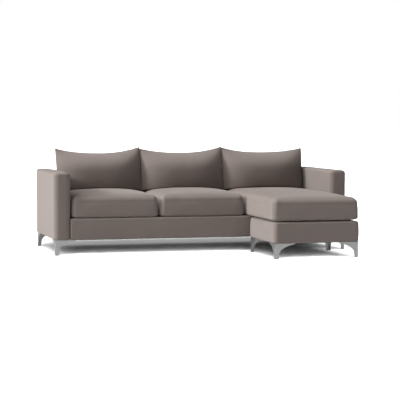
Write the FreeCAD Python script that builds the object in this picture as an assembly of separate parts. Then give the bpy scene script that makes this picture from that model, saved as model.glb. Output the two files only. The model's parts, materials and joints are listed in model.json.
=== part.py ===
"""Three-seat sofa with a reversible chaise: an ottoman carries the front of one long seat cushion.

X runs to the sitter's left, Y towards the back and Z up. The origin is on the floor under the middle of the
whole outline, and all lengths are in millimetres.
"""

import FreeCAD
import Part

import math
import os

V = FreeCAD.Vector

# Overall sizes
SOFA_WIDTH = 2290.0
SOFA_DEPTH = 914.0
CHAISE_REACH = 682.0
UNDERSIDE = 115.0
SEAT_BOX_HEIGHT = 161.0
ARM_WIDTH = 124.0
ARM_HEIGHT = 620.0
BACK_HEIGHT = 610.0

# Upholstery and clearances
CLOTH = 2.0
DUST_CLOTH = 1.0
FIT = 0.3
LOOSE = 0.6
RIDE_UP = 1.6

# Arms
ARM_CROWN_RADIUS = 420.0
ARM_EDGE_RADIUS = 28.0
ARM_WRAP = 8.0
ARM_TOP_WRAP = 14.0
ARM_FOAM = 6.0
ARM_TOP_FOAM = 16.0
ARM_PANEL = 9.0
ARM_WINDOW_MARGIN = 70.0
ARM_WINDOW_RISE = 150.0

# Dovetail connectors between the arms and the seat box
DOVETAIL_SPACE = 10.0
DOVETAIL_DEPTH = 7.0
DOVETAIL_BEVEL = 4.0
DOVETAIL_PLAY = 0.5
DOVETAIL_LIP = 8.0
DOVETAIL_FOOT = 28.0
DOVETAIL_HEAD = 22.0
DOVETAIL_HEIGHT = 90.0
DOVETAIL_RISE = 26.0
DOVETAIL_END = 130.0

# Timber of the frames
BOARD = 22.0
STRETCHER_DROP = 24.0
BLOCK_LEG = 90.0
BLOCK_HEIGHT = 40.0

# Seat box
RAIL_FOAM = 10.0
RAIL_EDGE_RADIUS = 14.0
RAIL_TOP_BAND = 60.0
DECK_FELT = 13.0

# Woven straps
STRAP = 2.0
STRAP_WIDTH = 55.0
STRAP_WAVE = 1.3
STRAPS_PER_SEAT = 3
STRAPS_ACROSS = 3

# Back
BACK_FOOT = 150.0
BACK_HEAD = 112.0
BACK_EDGE_RADIUS = 24.0
BACK_REAR_RADIUS = 10.0
BACK_FOAM = 24.0
BACK_SEAM_DROP = 18.0
BACK_STRAP_WIDTH = 70.0
BACK_STRAPS = 3

# Seat cushions
SEATS = 3
SEAT_GAP_LEFT = 9.0
SEAT_GAP_RIGHT = 18.0
SEAT_GAP = 11.0
SEAT_THICKNESS = 168.0
SEAT_CROWN = 20.0
SEAT_BULGE = 7.0
SEAT_TOP_RADIUS = 36.0
SEAT_REAR_RADIUS = 26.0
SEAT_FOOT_RADIUS = 16.0
SEAT_SIDE_DRAW = 15.0
SEAT_SIDE_ROUND = 40.0
SEAT_REAR_GAP = 5.0
SEAT_WRAP = 14.0

# Back cushions
BACK_CUSHION_SIDE_GAP = 7.0
BACK_CUSHION_GAP = 3.0
BACK_EAR_HEIGHT = 786.0
BACK_DIP_HEIGHT = 748.0
BACK_TOP_BEHIND = 172.0
BACK_KNIFE = 18.0
BACK_KNIFE_FOOT = 52.0
BACK_SIDE_BEHIND = 262.0
BACK_BELLY_BEHIND = 336.0
BACK_FOOT_BEHIND = 312.0
BACK_BELLY_SHARE = 0.36
BACK_NAPE = 10.0
BACK_WRAP = 9.0
BELLY_STEPS = 4
NAPE_STEPS = 2
BACK_FILLING_SHARE = 0.6
BACK_FILLING_DROP = 14.0

# Sections over half of a cushion's width
STATIONS = 4

# Zip fasteners
ZIP_WIDTH = 16.0
ZIP_DEPTH = 2.5
ZIP_SHARE = 0.62

# Ottoman
OTTOMAN_GAP = 38.0
OTTOMAN_SHORTER = 10.0
OTTOMAN_EDGE_RADIUS = 16.0
OTTOMAN_WRAP = 6.0
OTTOMAN_FOAM = 6.0
OTTOMAN_TOP_BOARD = 12.0

# Bracket legs
LEG_INSET = 8.0
LEG_PLATE = 5.0
LEG_TOP_PLATE = 4.0
LEG_REACH = 150.0
LEG_FOOT = 27.0
LEG_LEAN_DEG = 83.66
LEG_KNEE_RADIUS = 50.0
LEG_TURN_DEG = 33.0
LEG_TIP_DEG = 8.0
LEG_TIP = 6.2
LEG_BEND = 4.0
LEG_CORNER_PLATE = 118.0

# Places worked out from the sizes above
ROOM = SOFA_WIDTH - 2 * ARM_WIDTH
TOTAL_DEPTH = SOFA_DEPTH + CHAISE_REACH
REAR = TOTAL_DEPTH / 2
FRONT = REAR - SOFA_DEPTH
CHAISE_FRONT = -TOTAL_DEPTH / 2
DECK = UNDERSIDE + SEAT_BOX_HEIGHT
FRAME_FLOOR = UNDERSIDE + DUST_CLOTH
RAIL_TOP = DECK - CLOTH - DECK_FELT - 2 * STRAP - 2 * STRAP_WAVE
SEAT_WIDTH = (ROOM - SEAT_GAP_LEFT - SEAT_GAP_RIGHT - (SEATS - 1) * SEAT_GAP) / SEATS
SEAT_PITCH = SEAT_WIDTH + SEAT_GAP
SEAT_LEFT = -ROOM / 2 + SEAT_GAP_LEFT
SEAT_FLOOR = DECK + LOOSE
BACK_CUSHION_WIDTH = (ROOM - 2 * BACK_CUSHION_SIDE_GAP - (SEATS - 1) * BACK_CUSHION_GAP) / SEATS
BACK_CUSHION_PITCH = BACK_CUSHION_WIDTH + BACK_CUSHION_GAP
BOX_HALF = ROOM / 2 - FIT
END_HALF = BOX_HALF - DOVETAIL_SPACE
FRONT_RAIL = FRONT + CLOTH + RAIL_FOAM
REAR_RAIL = REAR - CLOTH - FIT - BOARD
OTTOMAN_RIGHT = SEAT_LEFT + SEATS * SEAT_WIDTH + (SEATS - 1) * SEAT_GAP
OTTOMAN_LEFT = OTTOMAN_RIGHT - SEAT_WIDTH + OTTOMAN_SHORTER
OTTOMAN_REAR = FRONT - OTTOMAN_GAP


def block(x, y, z):
    """Box between pairs of coordinates."""
    return Part.makeBox(x[1] - x[0], y[1] - y[0], z[1] - z[0], V(x[0], y[0], z[0]))


def slab_along_x(outline, x0, x1):
    """Polygon of (y, z) points, swept from x0 to x1."""
    points = [V(x0, y, z) for y, z in outline]
    return Part.Face(Part.makePolygon(points + points[:1])).extrude(V(x1 - x0, 0, 0))


def slab_along_y(outline, y0, y1):
    """Polygon of (x, z) points, swept from y0 to y1."""
    points = [V(x, y0, z) for x, z in outline]
    return Part.Face(Part.makePolygon(points + points[:1])).extrude(V(0, y1 - y0, 0))


def wire_of(points, kinds):
    """Closed wire: each piece is a line to the next point, or an arc through a middle point."""
    edges = []
    place = 0
    for kind in kinds:
        span = 1 if kind == "line" else 2
        ends = [points[(place + step) % len(points)] for step in range(span + 1)]
        if kind == "line":
            edges.append(Part.makeLine(ends[0], ends[1]))
        else:
            edges.append(Part.Arc(ends[0], ends[1], ends[2]).toShape())
        place += span
    return Part.Wire(edges)


def along_arc(start, middle, end, steps):
    """Points of the circle arc from start through middle to end, in equal steps."""
    (ax, ay), (bx, by), (cx, cy) = start, middle, end
    twice = 2 * (ax * (by - cy) + bx * (cy - ay) + cx * (ay - by))
    a2, b2, c2 = ax * ax + ay * ay, bx * bx + by * by, cx * cx + cy * cy
    x = (a2 * (by - cy) + b2 * (cy - ay) + c2 * (ay - by)) / twice
    y = (a2 * (cx - bx) + b2 * (ax - cx) + c2 * (bx - ax)) / twice
    radius = math.hypot(ax - x, ay - y)
    first = math.atan2(ay - y, ax - x)
    sweep = math.remainder(math.atan2(cy - y, cx - x) - first, math.tau)
    turns = [first + sweep * n / steps for n in range(steps + 1)]
    return [(x + radius * math.cos(turn), y + radius * math.sin(turn)) for turn in turns]


def corner_middle(centre, radius, angle):
    """Point of a circle in the YZ plane, at an angle in degrees from +Y."""
    turn = math.radians(angle)
    return (centre[0] + radius * math.cos(turn), centre[1] + radius * math.sin(turn))


def rounded_box(x, y, floor, top, radius):
    """Box with rounded upright corners and a rounded top edge, flat below."""
    body = block(x, y, (floor, top))
    edges = [e for e in body.Edges if any(abs(v.Z - top) < 0.01 for v in e.Vertexes)]
    return body.makeFillet(radius, edges)


def group(solids):
    """Several separate solids of one kind, kept as one sub-part."""
    return Part.makeCompound(solids)


# Arms

def arm_form(side, inset, floor):
    """Crowned arm block, drawn in by inset on every face but its underside; side is -1 or 1."""
    half = ARM_WIDTH / 2 - inset
    edge = ARM_EDGE_RADIUS - inset
    crown = ARM_CROWN_RADIUS - inset
    middle = side * (SOFA_WIDTH - ARM_WIDTH) / 2
    crown_centre = ARM_HEIGHT - inset - crown
    edge_centre = crown_centre + math.sqrt((crown - edge) ** 2 - (half - edge) ** 2)
    lean = math.atan2(half - edge, edge_centre - crown_centre)
    y0 = FRONT + inset
    y1 = REAR - inset

    def at(x, z):
        return V(middle + x, y0, z)

    def on_edge(sign, angle):
        return at(sign * (half - edge + edge * math.sin(angle)), edge_centre + edge * math.cos(angle))

    halfway = (math.pi / 2 + lean) / 2
    points = [
        at(-half, floor), at(-half, edge_centre), on_edge(-1, halfway), on_edge(-1, lean),
        at(0, ARM_HEIGHT - inset), on_edge(1, lean), on_edge(1, halfway), at(half, edge_centre),
        at(half, floor),
    ]
    outline = wire_of(points, ["line", "arc", "arc", "arc", "line", "line"])
    body = Part.Face(outline).extrude(V(0, y1 - y0, 0))
    ends = []
    for rim in body.Edges:
        flat = any(all(abs(v.Y - end) < 0.01 for v in rim.Vertexes) for end in (y0, y1))
        under = all(abs(v.Z - floor) < 0.01 for v in rim.Vertexes)
        if flat and not under:
            ends.append(rim)
    return body.makeFillet(edge, ends)


def arm_span(side, outer, inner):
    """X range inside one arm, by distances from its outer and inner faces."""
    outside = side * (SOFA_WIDTH / 2 - outer)
    inside = side * (ROOM / 2 + inner)
    return (min(outside, inside), max(outside, inside))


def arm_box(side, play, floor):
    """Space inside an arm's cover."""
    x = arm_span(side, ARM_WRAP + play, ARM_WRAP + play)
    edge = ARM_WRAP + play
    return block(x, (FRONT + edge, REAR - edge), (floor, ARM_HEIGHT - ARM_TOP_WRAP - play))


def arm_cover(side):
    """Cloth with its bonded wrap, open below."""
    return arm_form(side, 0, UNDERSIDE).cut(arm_box(side, 0, UNDERSIDE - CLOTH))


def arm_padding(side):
    """Foam sleeve over the arm's frame."""
    edge = ARM_WRAP + ARM_FOAM - FIT
    top = ARM_HEIGHT - ARM_TOP_WRAP - ARM_TOP_FOAM + FIT
    frame = block(arm_span(side, edge, edge), (FRONT + edge, REAR - edge), (UNDERSIDE, top))
    return arm_box(side, FIT, FRAME_FLOOR).cut(frame)


def arm_frame(side):
    """Boards round an inner plywood panel with two windows."""
    outer = ARM_WRAP + ARM_FOAM
    boards = arm_span(side, outer, outer + ARM_PANEL)
    panel = arm_span(side, ARM_WIDTH - outer - ARM_PANEL, outer)
    y = (FRONT + outer, REAR - outer)
    low = FRAME_FLOOR
    high = ARM_HEIGHT - ARM_TOP_WRAP - ARM_TOP_FOAM
    solids = [
        block(boards, y, (low, low + BOARD)),
        block(boards, y, (high - BOARD, high)),
    ]
    middle = (y[0] + y[1]) / 2
    for start in (y[0], middle - BOARD / 2, y[1] - BOARD):
        solids.append(block(boards, (start, start + BOARD), (low + BOARD, high - BOARD)))
    sheet = block(panel, y, (low, high))
    for start, end in ((y[0], middle), (middle, y[1])):
        window = (start + ARM_WINDOW_MARGIN, end - ARM_WINDOW_MARGIN)
        sheet = sheet.cut(block(panel, window, (low + ARM_WINDOW_RISE, high - ARM_WINDOW_MARGIN)))
    return group(solids + [sheet])


# Dovetail connectors

def dovetail(side, middle, play, depth):
    """Tapered dovetail on a seat box end rail, widened by play; depth is how far it stands out."""
    sections = []
    for z, half in ((0, DOVETAIL_FOOT), (DOVETAIL_HEIGHT, DOVETAIL_HEAD)):
        height = FRAME_FLOOR + DOVETAIL_RISE + z
        near = side * (END_HALF - play)
        far = side * (END_HALF + depth)
        narrow = half - DOVETAIL_BEVEL + play
        wide = half + play
        points = [V(near, middle - narrow, height), V(near, middle + narrow, height),
                  V(far, middle + wide, height), V(far, middle - wide, height)]
        sections.append(Part.makePolygon(points + points[:1]))
    return Part.makeLoft(sections, True, True)


def dovetail_places():
    return [(side, y) for side in (-1, 1) for y in (FRONT + DOVETAIL_END, REAR - DOVETAIL_END)]


def seat_dovetails():
    return group([dovetail(side, y, 0, DOVETAIL_DEPTH) for side, y in dovetail_places()])


def arm_sockets():
    """Plates on the arms' inner faces that drop over the dovetails."""
    sockets = []
    half = DOVETAIL_FOOT + DOVETAIL_LIP
    low = FRAME_FLOOR + DOVETAIL_RISE
    for side, y in dovetail_places():
        x = sorted((side * (END_HALF + DOVETAIL_PLAY), side * BOX_HALF))
        body = block(x, (y - half, y + half), (low, low + DOVETAIL_HEIGHT))
        sockets.append(body.cut(dovetail(side, y, DOVETAIL_PLAY, DOVETAIL_DEPTH + DOVETAIL_PLAY)))
    return group(sockets)


# Seat box

def seat_box_rails():
    """Front and rear rails with the end rails and stretchers between them."""
    z = (FRAME_FLOOR, RAIL_TOP)
    front = block((-BOX_HALF, BOX_HALF), (FRONT_RAIL, FRONT_RAIL + BOARD), z)
    rear = block((-BOX_HALF, BOX_HALF), (REAR_RAIL, REAR_RAIL + BOARD), z)
    y = (FRONT_RAIL + BOARD, REAR_RAIL)
    ends = []
    for side in (-1, 1):
        x = sorted((side * END_HALF, side * (END_HALF - BOARD)))
        ends.append(block(x, y, z))
    stretchers = []
    for n in range(1, SEATS):
        x = SEAT_LEFT + n * SEAT_PITCH - SEAT_GAP / 2
        stretchers.append(block((x - BOARD / 2, x + BOARD / 2), y, (z[0], z[1] - STRETCHER_DROP)))
    return front, rear, group(ends), group(stretchers)


def corner_block(x, y, into_x, into_y, floor):
    """Triangular glue block in a corner; into_x and into_y are -1 or 1."""
    outline = [V(x, y, floor), V(x + into_x * BLOCK_LEG, y, floor), V(x, y + into_y * BLOCK_LEG, floor)]
    return Part.Face(Part.makePolygon(outline + outline[:1])).extrude(V(0, 0, BLOCK_HEIGHT))


def seat_corner_blocks():
    floor = FRAME_FLOOR + DOVETAIL_RISE
    places = []
    for side in (-1, 1):
        x = side * (END_HALF - BOARD)
        places.append(corner_block(x, FRONT_RAIL + BOARD, -side, 1, floor))
        places.append(corner_block(x, REAR_RAIL, -side, -1, floor))
    return group(places)


def woven(ends, crossings, lower_first, base):
    """Side outline of a strap as (s, z) points: down on the rails, over and under at the crossings."""
    line = [(ends[0], base), (ends[0] + BOARD, base)]
    middle = base + STRAP / 2 + STRAP_WAVE
    for n, place in enumerate(crossings):
        lift = -STRAP_WAVE if (n % 2 == 0) == lower_first else STRAP_WAVE
        half = STRAP_WIDTH / 2 + STRAP
        line.append((place - half, middle + lift))
        line.append((place + half, middle + lift))
    line += [(ends[1] - BOARD, base), (ends[1], base)]
    return line + [(s, z + STRAP) for s, z in reversed(line)]


def seat_webbing():
    """Straps from the front rail to the rear rail, woven through straps from end rail to end rail."""
    long_places = []
    for seat in range(SEATS):
        middle = SEAT_LEFT + seat * SEAT_PITCH + SEAT_WIDTH / 2
        step = SEAT_WIDTH / STRAPS_PER_SEAT
        for n in range(STRAPS_PER_SEAT):
            long_places.append(middle + (n - (STRAPS_PER_SEAT - 1) / 2) * step)
    y = (FRONT_RAIL, REAR_RAIL + BOARD)
    room = REAR - BACK_FOOT - y[0]
    cross_places = [y[0] + room * (n + 1) / (STRAPS_ACROSS + 1) for n in range(STRAPS_ACROSS)]
    straps = []
    for n, x in enumerate(long_places):
        outline = woven(y, cross_places, n % 2 == 0, RAIL_TOP)
        straps.append(slab_along_x(outline, x - STRAP_WIDTH / 2, x + STRAP_WIDTH / 2))
    for n, place in enumerate(cross_places):
        outline = woven((-END_HALF, END_HALF), long_places, n % 2 == 1, RAIL_TOP)
        straps.append(slab_along_y(outline, place - STRAP_WIDTH / 2, place + STRAP_WIDTH / 2))
    return group(straps)


def rail_profile(inset, rear, floor):
    """Front rail's upholstered section, rounded at its top front edge."""
    radius = RAIL_EDGE_RADIUS - inset
    front = FRONT + inset
    top = DECK - inset
    body = slab_along_x([(front, floor), (rear, floor), (rear, top), (front, top)], -BOX_HALF, BOX_HALF)
    edge = [
        e for e in body.Edges
        if all(abs(v.Y - front) < 0.01 and abs(v.Z - top) < 0.01 for v in e.Vertexes)
    ]
    return body.makeFillet(radius, edge)


def front_rail_cover():
    rear = FRONT + RAIL_TOP_BAND
    return rail_profile(0, rear, UNDERSIDE).cut(rail_profile(CLOTH, rear + CLOTH, UNDERSIDE - CLOTH))


def front_rail_padding():
    foam = rail_profile(CLOTH + FIT, FRONT + RAIL_TOP_BAND, FRAME_FLOOR)
    straps = DECK - CLOTH - DECK_FELT + FIT
    inside = [
        (FRONT_RAIL - FIT, FRAME_FLOOR - FIT), (FRONT + RAIL_TOP_BAND + FIT, FRAME_FLOOR - FIT),
        (FRONT + RAIL_TOP_BAND + FIT, straps), (FRONT_RAIL - FIT, straps),
    ]
    return foam.cut(slab_along_x(inside, -BOX_HALF - FIT, BOX_HALF + FIT))


def deck_y():
    return (FRONT + RAIL_TOP_BAND + FIT, REAR - BACK_FOOT - FIT)


def deck_felt():
    floor = DECK - CLOTH - DECK_FELT + FIT
    return block((-BOX_HALF, BOX_HALF), deck_y(), (floor, DECK - CLOTH - FIT))


def deck_cloth():
    return block((-BOX_HALF, BOX_HALF), deck_y(), (DECK - CLOTH, DECK))


# Back

def back_line(z):
    """Y of the back's leaning inside face at a height."""
    share = (z - DECK) / (BACK_HEIGHT - DECK)
    return REAR - BACK_FOOT + (BACK_FOOT - BACK_HEAD) * share


def back_profile(inset, floor, play):
    """Back's section, drawn in by inset on every side but below."""
    top = BACK_HEIGHT - inset
    rear = REAR - inset
    outline = [(back_line(floor) + inset, floor), (rear, floor), (rear, top), (back_line(top) + inset, top)]
    body = slab_along_x(outline, -BOX_HALF + play, BOX_HALF - play)
    front = [
        e for e in body.Edges
        if all(abs(v.Z - top) < 0.01 and v.Y < rear - BACK_EDGE_RADIUS for v in e.Vertexes)
    ]
    body = body.makeFillet(BACK_EDGE_RADIUS - inset, front)
    behind = [
        e for e in body.Edges
        if all(abs(v.Z - top) < 0.01 and abs(v.Y - rear) < 0.01 for v in e.Vertexes)
    ]
    return body.makeFillet(BACK_REAR_RADIUS - inset, behind)


def inside_back_cover():
    floor = DECK + FIT
    shell = back_profile(0, floor, 0).cut(back_profile(CLOTH, floor - CLOTH, -FIT))
    seam = BACK_HEIGHT - BACK_SEAM_DROP
    return shell.cut(block((-ROOM, ROOM), (REAR - BACK_REAR_RADIUS, REAR + CLOTH), (0, seam)))


def outside_back_cover():
    seam = BACK_HEIGHT - BACK_SEAM_DROP
    return block((-BOX_HALF, BOX_HALF), (REAR - CLOTH, REAR), (UNDERSIDE, seam - FIT))


def back_frame_line(z):
    """Y of the front of the back's timber at a height."""
    return back_line(z) + CLOTH + BACK_FOAM + STRAP


def back_frame_top():
    return BACK_HEIGHT - CLOTH - BACK_FOAM


def back_frame():
    """Four wedge-shaped uprights on the rear rail, with a cap rail and a foot rail."""
    rear = REAR_RAIL + BOARD
    top = back_frame_top()
    uprights = []
    foot = DECK - CLOTH - DECK_FELT + FIT
    places = [-BOX_HALF + BOARD / 2, BOX_HALF - BOARD / 2]
    places += [SEAT_LEFT + n * SEAT_PITCH - SEAT_GAP / 2 for n in range(1, SEATS)]
    for x in places:
        outline = [
            (REAR_RAIL, RAIL_TOP), (rear, RAIL_TOP), (rear, top - BOARD),
            (back_frame_line(top - BOARD), top - BOARD),
            (back_frame_line(foot + BOARD), foot + BOARD), (REAR_RAIL, foot + BOARD),
        ]
        uprights.append(slab_along_x(outline, x - BOARD / 2, x + BOARD / 2))
    cap = block((-BOX_HALF, BOX_HALF), (back_frame_line(top), rear), (top - BOARD, top))
    depth = (back_frame_line(foot + BOARD), REAR_RAIL - FIT)
    foot_rail = block((-BOX_HALF, BOX_HALF), depth, (foot, foot + BOARD))
    return group(uprights + [cap, foot_rail])


def back_webbing():
    """Straps from upright to upright, flat on their leaning front edges."""
    low = DECK
    high = back_frame_top() - BACK_STRAP_WIDTH
    straps = []
    for n in range(BACK_STRAPS):
        z0 = low + (high - low) * n / (BACK_STRAPS - 1)
        z1 = z0 + BACK_STRAP_WIDTH
        outline = [
            (back_frame_line(z0) - STRAP, z0), (back_frame_line(z0), z0),
            (back_frame_line(z1), z1), (back_frame_line(z1) - STRAP, z1),
        ]
        straps.append(slab_along_x(outline, -BOX_HALF, BOX_HALF))
    return group(straps)


def back_padding():
    """Foam in front of the straps and over the cap rail."""
    foam = back_profile(CLOTH + FIT, DECK + FIT, FIT)
    top = back_frame_top() + FIT
    floor = DECK - CLOTH
    hollow = [
        (back_frame_line(floor) - STRAP - FIT, floor), (REAR, floor), (REAR, top),
        (back_frame_line(top) - STRAP - FIT, top),
    ]
    return foam.cut(slab_along_x(hollow, -ROOM, ROOM))


# Bracket legs

def arc_on(start, heading_from, heading_to, radius):
    """Middle and end of an arc that turns clockwise from one heading to another, in radians."""
    found = []
    for heading in ((heading_from + heading_to) / 2, heading_to):
        found.append((start[0] + radius * (math.sin(heading_from) - math.sin(heading)),
                      start[1] + radius * (math.cos(heading) - math.cos(heading_from))))
    return found


def leg_leaf():
    """Outline of one leaf: a narrow foot that leans out to a knee and sweeps up into a thin tip."""
    lean = math.radians(LEG_LEAN_DEG)
    turn = math.radians(LEG_TURN_DEG)
    flat = math.radians(LEG_TIP_DEG)
    top = UNDERSIDE - FIT
    out, up = arc_on((0, 0), lean, turn, LEG_KNEE_RADIUS)[1]
    slope = (math.cos(flat) - math.cos(turn)) / (math.sin(turn) - math.sin(flat))
    left = top - LEG_TIP - up - slope * (LEG_REACH - LEG_FOOT - out)
    rise = left / (1 - slope / math.tan(lean))
    knee = (LEG_FOOT + rise / math.tan(lean), rise)
    bend = arc_on(knee, lean, turn, LEG_KNEE_RADIUS)
    radius = (LEG_REACH - bend[1][0]) / (math.sin(turn) - math.sin(flat))
    sweep = arc_on(bend[1], turn, flat, radius)
    points = [(0, 0), (LEG_FOOT, 0), knee] + bend + sweep + [(LEG_REACH, top), (0, top)]
    return points, ["line", "line", "arc", "arc", "line", "line", "line"]


def bracket_leg():
    """Two leaves at a right angle under a corner plate, its outer corner at the origin."""
    points, kinds = leg_leaf()
    front = Part.Face(wire_of([V(s, 0, z) for s, z in points], kinds)).extrude(V(0, LEG_PLATE, 0))
    side = Part.Face(wire_of([V(0, s, z) for s, z in points], kinds)).extrude(V(LEG_PLATE, 0, 0))
    top = UNDERSIDE - FIT
    corner = [V(0, 0, top), V(LEG_CORNER_PLATE, 0, top), V(0, LEG_CORNER_PLATE, top)]
    plate = Part.Face(Part.makePolygon(corner + corner[:1])).extrude(V(0, 0, -LEG_TOP_PLATE))
    body = front.fuse([side, plate]).removeSplitter()
    bend = [
        e for e in body.Edges
        if all(abs(v.X) < 0.01 and abs(v.Y) < 0.01 for v in e.Vertexes)
    ]
    return body.makeFillet(LEG_BEND, bend)


def corners_of(x, y):
    """The four leg corners of an upholstered box: (x, y, direction in x, direction in y)."""
    found = []
    for side, into_x in ((x[0] + LEG_INSET, 1), (x[1] - LEG_INSET, -1)):
        for end, into_y in ((y[0] + LEG_INSET, 1), (y[1] - LEG_INSET, -1)):
            found.append((side, end, into_x, into_y))
    return found


def place_leg(leg, corner):
    x, y, into_x, into_y = corner
    body = leg
    if into_x < 0:
        body = body.mirror(V(0, 0, 0), V(1, 0, 0))
    if into_y < 0:
        body = body.mirror(V(0, 0, 0), V(0, 1, 0))
    body = body.copy()
    body.translate(V(x, y, 0))
    return body


# Cushions

def stations(half):
    """Places over a cushion's width as distances from its middle, closer together towards its sides."""
    inner = [half * math.cos(math.pi / 2 * n / STATIONS) for n in range(STATIONS)]
    return [-s for s in inner] + [0.0] + inner[::-1]


def seat_section(x, middle, half, front, rear):
    """Seat cushion's section at one station: crowned above, bulged in front, flat below and behind."""
    off = abs(x) / half
    near = half - abs(x)
    turn = max(0.0, 1 - near / SEAT_SIDE_ROUND)
    draw = SEAT_SIDE_DRAW * (1 - math.sqrt(1 - turn ** 2))
    bulge = SEAT_BULGE * (1 - off ** 4) + 1
    crown = SEAT_CROWN * (1 - off ** 2) + 2
    y0 = front + SEAT_BULGE + 1 + draw
    y1 = rear - draw / 3
    z0 = SEAT_FLOOR + draw / 3
    z1 = SEAT_FLOOR + SEAT_THICKNESS - draw * 2 / 3
    top, back, foot = SEAT_TOP_RADIUS, SEAT_REAR_RADIUS, SEAT_FOOT_RADIUS
    spots = [
        (y0, z0 + foot), (y0 - bulge, (z0 + z1) / 2 - foot / 2), (y0, z1 - top),
        corner_middle((y0 + top, z1 - top), top, 135), (y0 + top, z1),
        ((y0 + y1) / 2, z1 + crown), (y1 - back, z1),
        corner_middle((y1 - back, z1 - back), back, 45), (y1, z1 - back),
        (y1, z0 + foot), (y1 - foot, z0), (y0 + foot, z0),
        corner_middle((y0 + foot, z0 + foot), foot, -135),
    ]
    points = [V(middle + x, y, z) for y, z in spots]
    return wire_of(points, ["arc", "arc", "arc", "arc", "line", "line", "line", "arc"])


def seat_core(middle, front, rear, play):
    """Foam slab inside a seat cushion, with a gently crowned top."""
    half = SEAT_WIDTH / 2 - SEAT_WRAP - SEAT_SIDE_DRAW / 2 - play
    y0 = front + SEAT_BULGE + SEAT_WRAP + play
    y1 = rear - SEAT_WRAP - play
    z0 = SEAT_FLOOR + SEAT_WRAP / 2 + play
    z1 = SEAT_FLOOR + SEAT_THICKNESS - SEAT_WRAP - play
    spots = [(y0, z0), (y0, z1), ((y0 + y1) / 2, z1 + SEAT_CROWN / 2), (y1, z1), (y1, z0)]
    points = [V(middle - half, y, z) for y, z in spots]
    return Part.Face(wire_of(points, ["line", "arc", "line", "line"])).extrude(V(2 * half, 0, 0))


def seat_cushion(seat, front):
    """Cover with its fibre wrap, foam core and zip of one seat cushion."""
    middle = SEAT_LEFT + seat * SEAT_PITCH + SEAT_WIDTH / 2
    rear = REAR - BACK_FOOT - SEAT_REAR_GAP
    half = SEAT_WIDTH / 2
    outer = Part.makeLoft([seat_section(x, middle, half, front, rear) for x in stations(half)], True, True)
    core = seat_core(middle, front, rear, LOOSE)
    reach = half * ZIP_SHARE
    z = SEAT_FLOOR + SEAT_THICKNESS / 2
    depth = (rear - ZIP_DEPTH, rear + ZIP_DEPTH)
    tape, slot = zip_pieces(outer, (middle - reach, middle + reach), depth, z)
    cover = outer.cut([seat_core(middle, front, rear, 0), slot])
    return cover, core, tape


def zip_pieces(form, x, y, z):
    """Zip tape let into a cushion's outer face, and the recess for it."""
    half = ZIP_WIDTH / 2
    recess = block((x[0] - FIT, x[1] + FIT), (y[0] - FIT, y[1]), (z - half - FIT, z + half + FIT))
    tape = form.common(block(x, y, (z - half, z + half)))
    return tape, recess


def seat_height(seat, x, y):
    """Height of a seat cushion's crowned top at a distance x from its middle."""
    front = CHAISE_FRONT if seat == SEATS - 1 else FRONT
    y0 = front + SEAT_BULGE + SEAT_TOP_RADIUS
    y1 = REAR - BACK_FOOT - SEAT_REAR_GAP - SEAT_REAR_RADIUS
    along = (y - (y0 + y1) / 2) / ((y1 - y0) / 2)
    crown = SEAT_CROWN * (1 - min(1, abs(x) / (SEAT_WIDTH / 2)) ** 2) + 2
    return SEAT_FLOOR + SEAT_THICKNESS + crown * max(0, 1 - along ** 2)


def back_section(x, seat, middle, half):
    """Back cushion's section at one station: a leaning lens that thins to a knife edge at the sides."""
    off = min(1.0, abs(x) / half)
    full = 1 - off ** 2.6
    flat = 1 - off ** 7

    def blend(side, centre, share):
        return side + (centre - side) * share

    foot_front = REAR - blend(BACK_SIDE_BEHIND, BACK_FOOT_BEHIND, full)
    rest = seat_height(seat, x, foot_front) + RIDE_UP
    foot_rear = blend(REAR - BACK_SIDE_BEHIND + BACK_KNIFE_FOOT, back_line(rest) - LOOSE, flat)
    belly = REAR - blend(BACK_SIDE_BEHIND - BACK_KNIFE / 2, BACK_BELLY_BEHIND, full)
    top = blend(BACK_EAR_HEIGHT, BACK_DIP_HEIGHT, 1 - off ** 2)
    shoulder = BACK_HEIGHT - BACK_EDGE_RADIUS * 1.5
    share = (shoulder - rest) / (top - rest)
    side_front = REAR - blend(BACK_SIDE_BEHIND, BACK_TOP_BEHIND, share)
    side_shoulder = side_front + (BACK_KNIFE + BACK_KNIFE_FOOT) / 2
    shoulder_rear = blend(side_shoulder, back_line(shoulder) - LOOSE, flat)
    top_front = REAR - BACK_TOP_BEHIND
    belly_height = blend(rest, top, BACK_BELLY_SHARE)
    nape_y = (shoulder_rear + top_front + BACK_KNIFE) / 2 + BACK_NAPE * (0.2 + 0.8 * full)
    nape = (nape_y, (shoulder + top) / 2)
    spots = along_arc((foot_front, rest), (belly, belly_height), (top_front, top), BELLY_STEPS)
    spots += along_arc((top_front + BACK_KNIFE, top), nape, (shoulder_rear, shoulder), NAPE_STEPS)
    spots.append((foot_rear, rest))
    points = [V(middle + x, y, z) for y, z in spots]
    return Part.makePolygon(points + points[:1])


def filling_section(seat, x, middle, half, play):
    """Face of a back cushion's filling, set in from the cushion's shape at the filling's end."""
    inset = BACK_WRAP + play
    end = (middle - x) / half
    foot = REAR - BACK_SIDE_BEHIND + (BACK_SIDE_BEHIND - BACK_FOOT_BEHIND) * (1 - end) + inset
    low = seat_height(seat, 0, foot) + RIDE_UP + inset
    top = BACK_DIP_HEIGHT - BACK_FILLING_DROP - inset
    belly = REAR - BACK_SIDE_BEHIND + (BACK_SIDE_BEHIND - BACK_BELLY_BEHIND) * (1 - end) + inset
    spots = [
        (foot, low), (belly, low + (top - low) * BACK_BELLY_SHARE), (REAR - BACK_TOP_BEHIND, top),
        (REAR - BACK_TOP_BEHIND + BACK_KNIFE - play, top),
        (back_line(BACK_HEIGHT - BACK_EDGE_RADIUS * 2) - inset, BACK_HEIGHT - BACK_EDGE_RADIUS * 2),
        (back_line(low) - inset, low),
    ]
    return Part.Face(wire_of([V(x, y, z) for y, z in spots], ["arc", "line", "line", "line", "line"]))


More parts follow.
